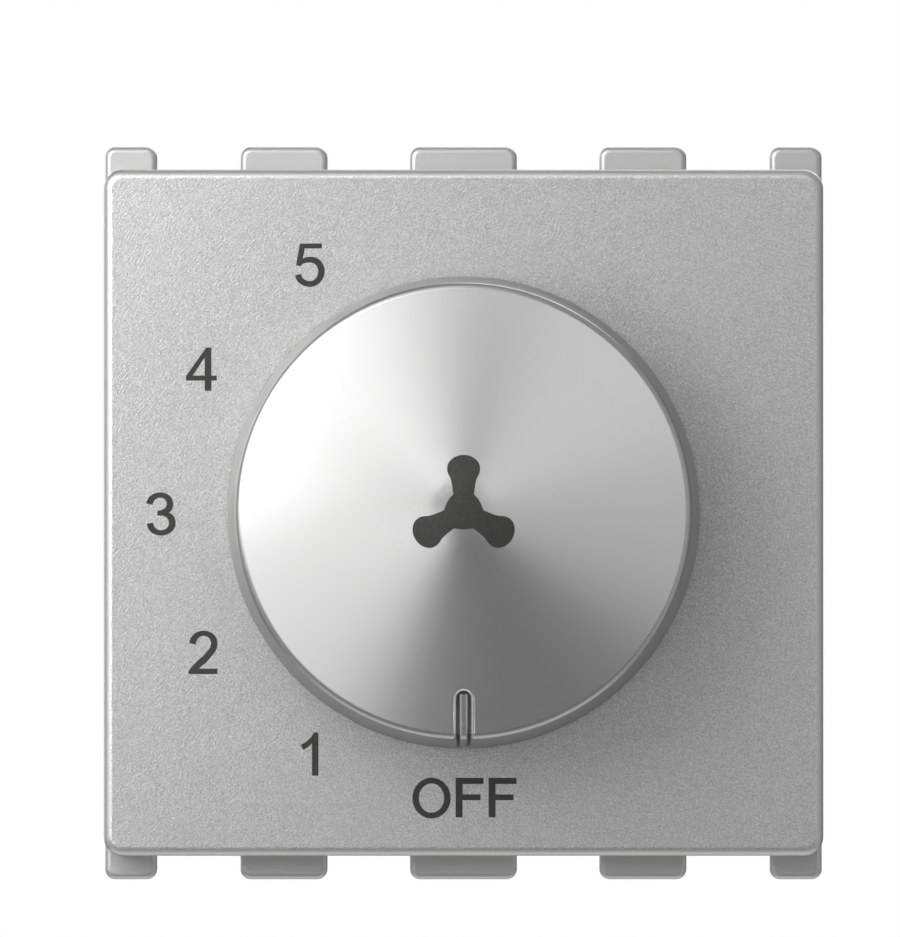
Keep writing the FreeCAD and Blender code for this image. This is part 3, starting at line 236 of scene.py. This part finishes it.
def makeDialPaint(s):
    finish, tree, shader, place = startFinish("silver_dial_paint")
    flake = flecks(tree, place, s["flakeSize"])
    front = tones(tree, flake, [(0.0, shade(s["colour"], 1 - s["flakeSpread"])),
                                (1.0, shade(s["colour"], 1 + s["flakeSpread"]))])
    flattened = stretch(tree, place, (0, 0, 0), (1, 0, 1))
    radius = measure(tree, flattened)
    rim = between(tree, radius, 0, 1, s["rimRadius"], s["rimRadius"] + s["rimBlend"])
    slot = between(tree, along(tree, place, "Y"), 0, 1, s["slotLevel"], s["slotLevel"] + s["slotBlend"])
    side = larger(tree, rim, slot)
    # painted shade: the rim, the side and the pointer's slot take the darker colour
    colour = blend(tree, side, front, (*s["sideShadeColour"], 1), "RGBA")
    tree.links.new(colour, shader.inputs["Base Color"])
    shader.inputs["Metallic"].default_value = s["metallic"]
    shader.inputs["Specular Tint"].default_value = (s["edgeTint"],) * 3 + (1,)
    satin = grain(tree, place, s["satinSize"], 2.0)
    rough = between(tree, satin, *s["roughness"])
    tree.links.new(blend(tree, side, rough, s["sideRoughness"], "FLOAT"), shader.inputs["Roughness"])
    point = tree.nodes.new("ShaderNodeBevel")
    point.samples = 8
    tree.links.new(between(tree, radius, s["pointBlend"], 0, *s["pointReach"]), point.inputs["Radius"])
    lapped = relief(tree, satin, s["satinDepth"], under=point.outputs["Normal"])
    tree.links.new(lapped, shader.inputs["Normal"])
    return finish


markingInk = {
    "colour": (0.034, 0.034, 0.030),
    "speckSize": 0.09 * mm, "speckSpread": 0.18,
    "grainSize": 0.20 * mm, "grainDepth": 0.010 * mm,
    "roughness": (0.42, 0.58),
}


def makeMarkingInk(s):
    finish, tree, shader, place = startFinish("marking_ink")
    specks = flecks(tree, place, s["speckSize"])
    colour = tones(tree, specks, [(0.0, shade(s["colour"], 1 - s["speckSpread"])),
                                  (0.85, shade(s["colour"], 1 + s["speckSpread"] / 2)),
                                  (1.0, shade(s["colour"], 1 + s["speckSpread"] * 2))])
    tree.links.new(colour, shader.inputs["Base Color"])
    lumps = grain(tree, place, s["grainSize"], 2.5, 0.6)
    tree.links.new(between(tree, lumps, *s["roughness"]), shader.inputs["Roughness"])
    tree.links.new(relief(tree, lumps, s["grainDepth"]), shader.inputs["Normal"])
    return finish


# Finishes of the mouldings, metals and lacquers behind the face

def makeMoulding(name, s):
    # moulded plastic: cloudy colour, a matt skin and a spark-eroded or drawn texture
    finish, tree, shader, place = startFinish(name)
    clouds = grain(tree, place, s["cloudSize"], 2.0)
    colour = tones(tree, clouds, [(0.3, shade(s["colour"], 1 - s["cloudSpread"])),
                                  (0.7, shade(s["colour"], 1 + s["cloudSpread"]))])
    tree.links.new(colour, shader.inputs["Base Color"])
    skin = grain(tree, place, s["textureSize"], 3.0, 0.6)
    tree.links.new(between(tree, skin, *s["roughness"]), shader.inputs["Roughness"])
    tree.links.new(relief(tree, skin, s["textureDepth"]), shader.inputs["Normal"])
    return finish


def makeMetal(name, s):
    # rolled, turned or plated metal: fine lines along one direction and a little tarnish
    finish, tree, shader, place = startFinish(name)
    lines = grain(tree, stretch(tree, place, (0, 0, 0), s["lineStretch"]), s["lineSize"], 2.0, 0.6)
    tarnish = grain(tree, place, s["tarnishSize"], 3.0)
    colour = tones(tree, tarnish, [(0.3, s["tarnish"]), (0.62, s["colour"])])
    tree.links.new(colour, shader.inputs["Base Color"])
    shader.inputs["Metallic"].default_value = 1.0
    tree.links.new(between(tree, lines, *s["roughness"]), shader.inputs["Roughness"])
    tree.links.new(relief(tree, lines, s["lineDepth"]), shader.inputs["Normal"])
    return finish


housingMoulding = {
    "colour": (0.245, 0.25, 0.255), "cloudSize": 6 * mm, "cloudSpread": 0.05,
    "textureSize": 0.16 * mm, "textureDepth": 0.02 * mm, "roughness": (0.45, 0.62),
}
blackMoulding = {
    "colour": (0.035, 0.035, 0.036), "cloudSize": 4 * mm, "cloudSpread": 0.12,
    "textureSize": 0.3 * mm, "textureDepth": 0.006 * mm, "roughness": (0.32, 0.46),
}
naturalNylon = {
    "colour": (0.78, 0.765, 0.70), "cloudSize": 2.5 * mm, "cloudSpread": 0.04,
    "textureSize": 0.4 * mm, "textureDepth": 0.004 * mm, "roughness": (0.34, 0.44),
}
zincPlate = {
    "colour": (0.66, 0.66, 0.65), "tarnish": (0.54, 0.55, 0.55), "tarnishSize": 1.6 * mm,
    "lineStretch": (1, 1, 1), "lineSize": 0.12 * mm, "lineDepth": 0.003 * mm, "roughness": (0.24, 0.38),
}
turnedAlloy = {
    "colour": (0.76, 0.76, 0.75), "tarnish": (0.66, 0.66, 0.66), "tarnishSize": 2.0 * mm,
    "lineStretch": (0.05, 1, 0.05), "lineSize": 0.1 * mm, "lineDepth": 0.003 * mm,
    "roughness": (0.22, 0.34),
}
phosphorBronze = {
    "colour": (0.70, 0.44, 0.26), "tarnish": (0.52, 0.30, 0.16), "tarnishSize": 1.4 * mm,
    "lineStretch": (1, 1, 0.06), "lineSize": 0.08 * mm, "lineDepth": 0.002 * mm, "roughness": (0.22, 0.36),
}
brassStrip = {
    "colour": (0.80, 0.61, 0.29), "tarnish": (0.62, 0.43, 0.17), "tarnishSize": 1.8 * mm,
    "lineStretch": (1, 0.06, 1), "lineSize": 0.08 * mm, "lineDepth": 0.002 * mm, "roughness": (0.22, 0.36),
}
rolledSpring = {
    "colour": (0.50, 0.50, 0.51), "tarnish": (0.36, 0.35, 0.36), "tarnishSize": 1.2 * mm,
    "lineStretch": (0.05, 1, 1), "lineSize": 0.06 * mm, "lineDepth": 0.002 * mm, "roughness": (0.20, 0.32),
}

boardLaminate = {
    "colour": (0.44, 0.29, 0.13), "fibre": (0.36, 0.22, 0.09), "fibreSize": 0.35 * mm,
    "fibreTurn": (0, 24, 0), "fibreStretch": (0.3, 1, 1), "fibreDepth": 0.004 * mm,
    "roughness": (0.28, 0.42), "coat": 0.3,
}


def makeBoardLaminate(s):
    # paper laminate: short fibres drawn out along the board, under a thin clear coat
    finish, tree, shader, place = startFinish("board_laminate")
    drawn = stretch(tree, place, s["fibreTurn"], s["fibreStretch"])
    fibres = grain(tree, drawn, s["fibreSize"], 4.0, 0.65)
    colour = tones(tree, fibres, [(0.32, s["fibre"]), (0.66, s["colour"])])
    tree.links.new(colour, shader.inputs["Base Color"])
    tree.links.new(between(tree, fibres, *s["roughness"]), shader.inputs["Roughness"])
    tree.links.new(relief(tree, fibres, s["fibreDepth"]), shader.inputs["Normal"])
    shader.inputs["Coat Weight"].default_value = s["coat"]
    return finish


capacitorCase = {
    "colour": (0.70, 0.53, 0.07), "resin": (0.55, 0.40, 0.06), "tin": (0.70, 0.70, 0.70),
    # the feet, the resin and the box follow each other along this depth
    "depth": (9 * mm, 12 * mm), "resinShare": 0.36, "boxShare": 0.5,
    "dimpleSize": 0.5 * mm, "dimpleDepth": 0.006 * mm, "roughness": (0.22, 0.34),
}


def makeCapacitorCase(s):
    # moulded box with darker resin at the open end and tinned feet below it
    finish, tree, shader, place = startFinish("capacitor_case")
    depth = between(tree, along(tree, place, "Y"), 0, 1, *s["depth"])
    colour = tones(tree, depth, [(0.0, s["tin"]), (s["resinShare"], s["resin"]),
                                 (s["boxShare"], s["colour"])])
    tree.links.new(colour, shader.inputs["Base Color"])
    dimples = grain(tree, place, s["dimpleSize"], 2.0)
    tree.links.new(between(tree, dimples, *s["roughness"]), shader.inputs["Roughness"])
    tree.links.new(relief(tree, dimples, s["dimpleDepth"]), shader.inputs["Normal"])
    return finish


def makeResistorCoat(name, s, node):
    # lacquered body with colour rings near its ends, tinned wires outside the body
    finish, tree, shader, place = startFinish(name)
    low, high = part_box(node)
    wires = s["wireLength"]
    run = between(tree, along(tree, place, "Z"), 0, 1, low.z, high.z)
    length = high.z - low.z
    stops = [(0.0, s["tin"]), (wires / length, s["coat"])]
    for position, ring in s["rings"]:
        stops += [(position, ring), (position + s["ringShare"], s["coat"])]
    stops.append((1 - wires / length, s["tin"]))
    tree.links.new(tones(tree, run, stops, steps=True), shader.inputs["Base Color"])
    lacquer = grain(tree, place, s["lumpSize"], 2.0)
    tree.links.new(between(tree, lacquer, *s["roughness"]), shader.inputs["Roughness"])
    tree.links.new(relief(tree, lacquer, s["lumpDepth"]), shader.inputs["Normal"])
    shader.inputs["Coat Weight"].default_value = s["gloss"]
    return finish


seriesCoat = {
    "coat": (0.28, 0.38, 0.48), "tin": (0.68, 0.68, 0.68), "wireLength": 1.2 * mm, "ringShare": 0.055,
    "rings": [(0.24, (0.42, 0.02, 0.02)), (0.36, (0.42, 0.02, 0.02)), (0.48, (0.02, 0.02, 0.02)),
              (0.70, (0.55, 0.36, 0.08))],
    "lumpSize": 0.6 * mm, "lumpDepth": 0.01 * mm, "roughness": (0.20, 0.34), "gloss": 0.4,
}
bleedCoat = {
    "coat": (0.66, 0.52, 0.33), "tin": (0.68, 0.68, 0.68), "wireLength": 1.2 * mm, "ringShare": 0.055,
    "rings": [(0.24, (0.16, 0.06, 0.02)), (0.36, (0.02, 0.02, 0.02)), (0.48, (0.55, 0.42, 0.02)),
              (0.70, (0.55, 0.36, 0.08))],
    "lumpSize": 0.6 * mm, "lumpDepth": 0.01 * mm, "roughness": (0.20, 0.34), "gloss": 0.4,
}

inkFinish = makeMarkingInk(markingInk)
finishes = {
    "silver_face": makeFacePaint(facePaint),
    "silver_dial": makeDialPaint(dialPaint),
    "plated_steel": makeMetal("zinc_plate", zincPlate),
    "black_plastic": makeMoulding("black_moulding", blackMoulding),
    "spindle_metal": makeMetal("turned_alloy", turnedAlloy),
    "white_plastic": makeMoulding("natural_nylon", naturalNylon),
    "bronze": makeMetal("phosphor_bronze", phosphorBronze),
    "brass": makeMetal("brass_strip", brassStrip),
    "spring_steel": makeMetal("rolled_spring", rolledSpring),
    "board": makeBoardLaminate(boardLaminate),
    "capacitor_case": makeCapacitorCase(capacitorCase),
    "housing_plastic": makeMoulding("housing_moulding", housingMoulding),
}
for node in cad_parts.values():
    slotName = node.material_slots[0].material.name
    if slotName in ("series_coat", "bleed_coat"):
        look = seriesCoat if slotName == "series_coat" else bleedCoat
        node.material_slots[0].material = makeResistorCoat(node.name + "_coat", look, node.name)
    else:
        node.material_slots[0].material = finishes[slotName]
print("finishes:", len(bpy.data.materials))


# Prints on the face and the dial, thin films drawn as flat outlines

def selectOnly(piece):
    bpy.ops.object.select_all(action="DESELECT")
    piece.select_set(True)
    bpy.context.view_layer.objects.active = piece


roundness = 0.55   # length of a handle on a round stretch, as a share of the way to the next point


def startOutline(name, steps):
    curve = bpy.data.curves.new(name, "CURVE")
    curve.dimensions = "2D"
    curve.fill_mode = "BOTH"
    curve.resolution_u = steps
    return curve


def startContour(curve, contour):
    spline = curve.splines.new("BEZIER")
    spline.bezier_points.add(len(contour) - 1)
    spline.use_cyclic_u = True
    return spline


def finishOutline(name, curve):
    piece = bpy.data.objects.new(name, curve)
    bpy.context.scene.collection.objects.link(piece)
    selectOnly(piece)
    bpy.ops.object.convert(target="MESH")
    return bpy.context.view_layer.objects.active


def fillOutline(name, contours, unit, thickness):
    # A point is (x, up, bend): "across" and "upright" are the turning points of a round stretch,
    # "smooth" runs on through, and "" is a sharp corner.
    curve = startOutline(name, 10)
    curve.extrude = thickness / 2
    for contour in contours:
        spline = startContour(curve, contour)
        for number, (x, up, bend) in enumerate(contour):
            point = spline.bezier_points[number]
            before = contour[number - 1]
            after = contour[(number + 1) % len(contour)]
            point.co = (x * unit, up * unit, 0)
            if bend == "smooth":
                point.handle_left_type = point.handle_right_type = "AUTO"
                continue
            point.handle_left_type = point.handle_right_type = "FREE"
            point.handle_left = handleTowards((x, up, bend), before, unit)
            point.handle_right = handleTowards((x, up, bend), after, unit)
    return finishOutline(name, curve)


def handleTowards(point, other, unit):
    x, up, bend = point
    dx, dup = other[0] - x, other[1] - up
    if bend == "across" or (bend == "" and other[2] == "upright"):
        return ((x + roundness * dx) * unit, up * unit, 0)
    if bend == "upright" or (bend == "" and other[2] == "across"):
        return (x * unit, (up + roundness * dup) * unit, 0)
    return ((x + dx / 3) * unit, (up + dup / 3) * unit, 0)


def closeFilm(piece):
    selectOnly(piece)
    bpy.ops.object.mode_set(mode="EDIT")
    bpy.ops.mesh.select_all(action="SELECT")
    bpy.ops.mesh.remove_doubles(threshold=0.0005 * mm)
    bpy.ops.mesh.normals_make_consistent(inside=False)
    bpy.ops.object.mode_set(mode="OBJECT")


# Outlines on a body 100 high, as a sign writer would draw them
marks = {
    "numeralHeight": 2.70 * mm, "letterHeight": 2.47 * mm,
    "film": 0.016 * mm, "sunk": 0.004 * mm,
    "outlines": {
        "1": [[(41, 100, ""), (41, 0, ""), (26, 0, ""), (26, 75, ""), (17, 66.5, "smooth"), (5.5, 60, ""),
               (0, 71, ""), (18, 83, "smooth"), (31, 100, "")]],
        "2": [[(0, 0, ""), (67, 0, ""), (67, 12.5, ""), (24, 12.5, ""), (50, 37, "smooth"),
               (67, 72.5, "upright"), (35, 100.5, "across"), (2, 71.5, ""), (17, 68, ""),
               (35, 88.5, "across"), (52, 72, "upright"), (40, 49, "smooth"), (15, 25, "smooth"),
               (0.5, 6, "smooth")]],
        "3": [[(0, 74.5, ""), (14.5, 71, ""), (32, 88, "across"), (47, 73.5, "upright"), (26, 58, ""),
               (24, 46, ""), (34, 46.5, "across"), (52, 29.5, "upright"), (34, 12.5, "across"),
               (15.5, 30, ""), (1, 28, ""), (33.5, 0, "across"), (67.5, 29, "upright"), (50, 53, ""),
               (62, 75, "upright"), (32, 100, "across")]],
        "4": [[(58.5, 100, ""), (58.5, 35, ""), (71, 35, ""), (71, 23.5, ""), (58.5, 23.5, ""), (58.5, 0, ""),
               (43, 0, ""), (43, 23.5, ""), (0, 23.5, ""), (0, 34.5, ""), (46.5, 100, "")],
              [(43, 35, ""), (43, 77, ""), (15.5, 35, "")]],
        "5": [[(62, 100, ""), (62, 88.5, ""), (22.5, 88.5, ""), (17.5, 64, ""), (36.5, 69.5, "across"),
               (68.5, 36.5, "upright"), (34.5, -0.5, "across"), (0, 27.5, ""), (14.5, 29, ""),
               (34.5, 13, "across"), (53.5, 36, "upright"), (34, 56, "across"), (14, 47.5, ""),
               (2, 49, ""), (11, 100, "")]],
        "O": [[(0, 50, "upright"), (48.5, 101.7, "across"), (97, 50, "upright"), (48.5, -1.7, "across")],
              [(16.5, 50, "upright"), (48.5, 87, "across"), (80.5, 50, "upright"), (48.5, 13, "across")]],
        "F": [[(0, 0, ""), (0, 100, ""), (70.5, 100, ""), (70.5, 84.5, ""), (17.5, 84.5, ""), (17.5, 58, ""),
               (63, 58, ""), (63, 43.5, ""), (17.5, 43.5, ""), (17.5, 0, "")]],
    },
    # piece: glyph, middle of the mark (right and up from the dial's axis)
    "places": {
        "mark_1": ("1", -9.62 * mm, -15.09 * mm), "mark_2": ("2", -16.28 * mm, -8.74 * mm),
        "mark_3": ("3", -18.90 * mm, -0.09 * mm), "mark_4": ("4", -16.38 * mm, 8.97 * mm),
        "mark_5": ("5", -9.60 * mm, 15.47 * mm),
        "mark_off_o": ("O", -2.00 * mm, -17.84 * mm), "mark_off_f": ("F", 0.38 * mm, -17.81 * mm),
        "mark_off_f_end": ("F", 2.44 * mm, -17.81 * mm),
    },
}


def printMarks(s):
    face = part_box("front_cover")[0].y
    drawn = {}
    for name, (glyph, x, z) in s["places"].items():
        if glyph in drawn:
            piece = drawn[glyph].copy()
            piece.data = drawn[glyph].data.copy()
            piece.name = piece.data.name = name
            bpy.context.scene.collection.objects.link(piece)
            shift = (x - drawn[glyph]["markX"], 0, z - drawn[glyph]["markZ"])
            piece.data.transform(Matrix.Translation(shift))
        else:
            height = s["numeralHeight"] if glyph.isdigit() else s["letterHeight"]
            contours = s["outlines"][glyph]
            width = max(point[0] for point in contours[0])
            middled = [[(px - width / 2, pz - 50, bend) for px, pz, bend in contour]
                       for contour in contours]
            piece = fillOutline(name, middled, height / 100, s["film"])
            piece.rotation_euler = (math.pi / 2, 0, 0)
            piece.location = (x, face - s["film"] / 2 + s["sunk"], z)
            selectOnly(piece)
            bpy.ops.object.transform_apply(location=True, rotation=True, scale=True)
            closeFilm(piece)
            drawn[glyph] = piece
        piece["markX"] = x
        piece["markZ"] = z
        piece.data.materials.clear()
        piece.data.materials.append(inkFinish)
        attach(piece, "insert")
    print("marks:", len(s["places"]))


# Three-bladed fan sign at the dial's point, with its blades drawn once and turned
fanSign = {
    "blade": [(0.64, 1.04, ""), (0.78, 1.90, "smooth"), (1.02, 2.64, "upright"), (0, 3.47, "across"),
              (-1.02, 2.64, "upright"), (-0.78, 1.90, "smooth"), (-0.64, 1.04, ""), (-1.00, 0.58, "smooth")],
    "blades": 3, "cell": 0.3 * mm, "film": 0.016 * mm, "proud": 0.010 * mm,
}


def printFanSign(s):
    contour = []
    for number in range(s["blades"]):
        turn = 2 * math.pi * number / s["blades"]
        contour += [(x, up, bend, turn) for x, up, bend in s["blade"]]
    piece = fillTurned("fan_sign", contour)
    piece.rotation_euler = (math.pi / 2, 0, 0)
    piece.location = (0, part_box("knob")[0].y - 1 * mm, 0)
    selectOnly(piece)
    bpy.ops.object.transform_apply(location=True, rotation=True, scale=True)
    bpy.ops.object.mode_set(mode="EDIT")
    reach = max(abs(value) for point in s["blade"] for value in point[:2]) * mm
    cuts = math.ceil(reach / s["cell"])
    for number in range(-cuts, cuts + 1):
        for normal in ((1, 0, 0), (0, 0, 1)):
            bpy.ops.mesh.select_all(action="SELECT")
            bpy.ops.mesh.bisect(plane_co=[axis * number * s["cell"] for axis in normal], plane_no=normal)
    bpy.ops.object.mode_set(mode="OBJECT")
    closeFilm(piece)
    lay = piece.modifiers.new("lay_on_dial", "SHRINKWRAP")
    lay.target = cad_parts["knob"]
    lay.wrap_method = "PROJECT"
    lay.use_project_y = True
    lay.use_positive_direction = True
    lay.use_negative_direction = True
    lay.offset = s["proud"]
    bpy.ops.object.modifier_apply(modifier=lay.name)
    skin = piece.modifiers.new("film", "SOLIDIFY")
    skin.thickness = s["film"]
    skin.offset = -1
    bpy.ops.object.modifier_apply(modifier=skin.name)
    bpy.ops.object.shade_smooth_by_angle(angle=math.radians(30))
    piece.data.materials.clear()
    piece.data.materials.append(inkFinish)
    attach(piece, "dial")
    print("fan sign:", len(piece.data.polygons), "faces")


def fillTurned(name, contour):
    # the same outline drawing, with each blade's handles worked out before it is turned
    curve = startOutline(name, 12)
    spline = startContour(curve, contour)
    for number, (x, up, bend, turn) in enumerate(contour):
        point = spline.bezier_points[number]
        point.co = turned((x, up), turn)
        if bend == "smooth":
            point.handle_left_type = point.handle_right_type = "AUTO"
        elif bend == "":
            point.handle_left_type = point.handle_right_type = "VECTOR"
        else:
            point.handle_left_type = point.handle_right_type = "FREE"
            before, after = contour[number - 1], contour[(number + 1) % len(contour)]
            for side, other in (("handle_left", before), ("handle_right", after)):
                handle = handleTowards((x, up, bend), other[:3], 1)
                setattr(point, side, turned(handle[:2], turn))
    return finishOutline(name, curve)


def turned(point, turn):
    x, up = point
    return ((x * math.cos(turn) - up * math.sin(turn)) * mm,
            (x * math.sin(turn) + up * math.cos(turn)) * mm, 0)


printMarks(marks)
printFanSign(fanSign)

# Pale floor, studio lamps and the surroundings that the metal reflects
floorLook = {
    "size": 1.6, "gap": 12 * mm, "colour": (0.86, 0.86, 0.85), "shadowReach": (0.045, 0.17),
    "cloudSize": 40 * mm, "cloudShade": 0.985, "roughness": 0.7,
}


def layFloor(s):
    bpy.ops.object.select_all(action="DESELECT")
    bpy.ops.mesh.primitive_plane_add(size=s["size"], location=(0, 0, cadBox[0].z - s["gap"]))
    floor = bpy.context.view_layer.objects.active
    floor.name = "floor"
    finish, tree, shader, place = startFinish("pale_floor")
    clouds = grain(tree, place, s["cloudSize"], 2.0)
    colour = tones(tree, clouds, [(0.3, shade(s["colour"], s["cloudShade"])), (0.7, s["colour"])])
    tree.links.new(colour, shader.inputs["Base Color"])
    shader.inputs["Roughness"].default_value = s["roughness"]
    # the floor fades into the white surroundings away from the object
    fade = between(tree, measure(tree, place), 0, 1, *s["shadowReach"])
    white = tree.nodes.new("ShaderNodeEmission")
    rays = tree.nodes.new("ShaderNodeLightPath")
    mix = tree.nodes.new("ShaderNodeMixShader")
    tree.links.new(multiply(tree, fade, rays.outputs["Is Camera Ray"]), mix.inputs["Fac"])
    tree.links.new(shader.outputs["BSDF"], mix.inputs[1])
    tree.links.new(white.outputs["Emission"], mix.inputs[2])
    # seen from below it is clear, so that the underside of the object shows
    oneSided = tree.nodes.new("ShaderNodeMixShader")
    tree.links.new(tree.nodes.new("ShaderNodeNewGeometry").outputs["Backfacing"], oneSided.inputs["Fac"])
    tree.links.new(mix.outputs["Shader"], oneSided.inputs[1])
    tree.links.new(tree.nodes.new("ShaderNodeBsdfTransparent").outputs["BSDF"], oneSided.inputs[2])
    tree.links.new(oneSided.outputs["Shader"], tree.nodes["Material Output"].inputs["Surface"])
    floor.data.materials.append(finish)
    floor.visible_shadow = False   # panels that hang lower still light the face
    floor.visible_glossy = False


# lamp: place in metres, width, height, radiance
lamps = {
    "keyBox": ((-0.108, -0.127, 0.057), 0.13, 0.13, 3.4),
    "softBox": ((-0.10, -0.17, 0.13), 0.20, 0.20, 0.65),
    "topBox": ((-0.03, -0.12, 0.12), 0.10, 0.10, 0.6),
    "leftHigh": ((-0.075, -0.36, 0.15), 0.13, 0.12, 0.51),
    "leftMiddle": ((-0.12, -0.36, 0.02), 0.13, 0.10, 0.15),
    "leftLow": ((-0.11, -0.36, -0.07), 0.13, 0.12, 0.83),
    "rightHigh": ((0.105, -0.36, 0.11), 0.13, 0.17, 0.61),
    "rightMiddle": ((0.13, -0.36, -0.02), 0.14, 0.09, 0.4),
    "rightCard": ((0.16, -0.16, 0.0), 0.05, 0.25, 0.7),
    "topMiddle": ((0.0, -0.36, 0.13), 0.09, 0.14, 0.24),
    "lowCard": ((0.0, 0.03, -0.16), 0.30, 0.16, 0.6),
    "rearRight": ((0.20, 0.45, 0.35), 0.45, 0.45, 3.2),
    "rearLeft": ((-0.38, 0.40, 0.10), 0.40, 0.40, 1.6),
}


def hangLamps(s):
    aim = Vector((0, -10 * mm, 0))
    for name, (place, width, height, radiance) in s.items():
        light = bpy.data.lights.new(name, "AREA")
        light.shape = "RECTANGLE"
        light.size = width
        light.size_y = height
        light.energy = radiance * math.pi * width * height
        lamp = bpy.data.objects.new(name, light)
        lamp.location = place
        lamp.rotation_euler = (aim - Vector(place)).to_track_quat("-Z", "Y").to_euler()
        lamp.visible_camera = False
        bpy.context.scene.collection.objects.link(lamp)
    print("lamps:", len(s))


# tent of white cloth round the object, open towards the camera: depth along the view, brightness
surroundings = {
    "tent": [(-0.84, 0.066), (-0.50, 0.29), (-0.10, 0.54), (0.15, 0.15)],
    "backdrop": (0.94, 0.98),
}


def paintSurroundings(s):
    # the tent lights the object and shows in its metal, the camera sees plain white, and so do metal and
    # glass where they mirror the part of the backdrop that is straight behind the object
    world = bpy.data.worlds.new("studio")
    bpy.context.scene.world = world
    world.use_nodes = True
    tree = world.node_tree
    back = tree.nodes["Background"]
    direction = tree.nodes.new("ShaderNodeTexCoord").outputs["Generated"]
    away = along(tree, direction, "Y")
    depth = between(tree, away, 0, 1, -1, 1)
    cloth = tones(tree, depth, [((place + 1) / 2, (level,) * 3) for place, level in s["tent"]])
    rays = tree.nodes.new("ShaderNodeLightPath")
    mirrored = larger(tree, rays.outputs["Is Glossy Ray"], rays.outputs["Is Transmission Ray"])
    backdrop = multiply(tree, mirrored, between(tree, away, 0, 1, *s["backdrop"]))
    seen = larger(tree, rays.outputs["Is Camera Ray"], backdrop)
    tree.links.new(larger(tree, cloth, seen), back.inputs["Strength"])
    back.inputs["Color"].default_value = (1, 1, 1, 1)


layFloor(floorLook)
hangLamps(lamps)
paintSurroundings(surroundings)

# Camera square to the face, a touch below its middle, as in the photograph
shot = {
    "imageSize": (900, 937), "pixelsPerMm": 16.0, "facePixel": (463.5, 512.6),
    "elevation": -0.65, "distance": 1.2,
}


def setCamera(s):
    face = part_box("front_cover")[0].y
    width, height = s["imageSize"]
    aim = Vector(((width / 2 - s["facePixel"][0]) / s["pixelsPerMm"] * mm, face,
                  (s["facePixel"][1] - height / 2) / s["pixelsPerMm"] * mm))
    tilt = math.radians(s["elevation"])
    camera = bpy.data.objects.new("camera", bpy.data.cameras.new("camera"))
    bpy.context.scene.collection.objects.link(camera)
    camera.location = aim + s["distance"] * Vector((0, -math.cos(tilt), math.sin(tilt)))
    camera.rotation_euler = (math.pi / 2 - tilt, 0, 0)
    frameHeight = height / s["pixelsPerMm"] * mm
    camera.data.lens = camera.data.sensor_width * s["distance"] / frameHeight
    bpy.context.scene.camera = camera


setCamera(shot)
bpy.context.scene.view_settings.view_transform = "Standard"

print("camera, lamps and floor are set")
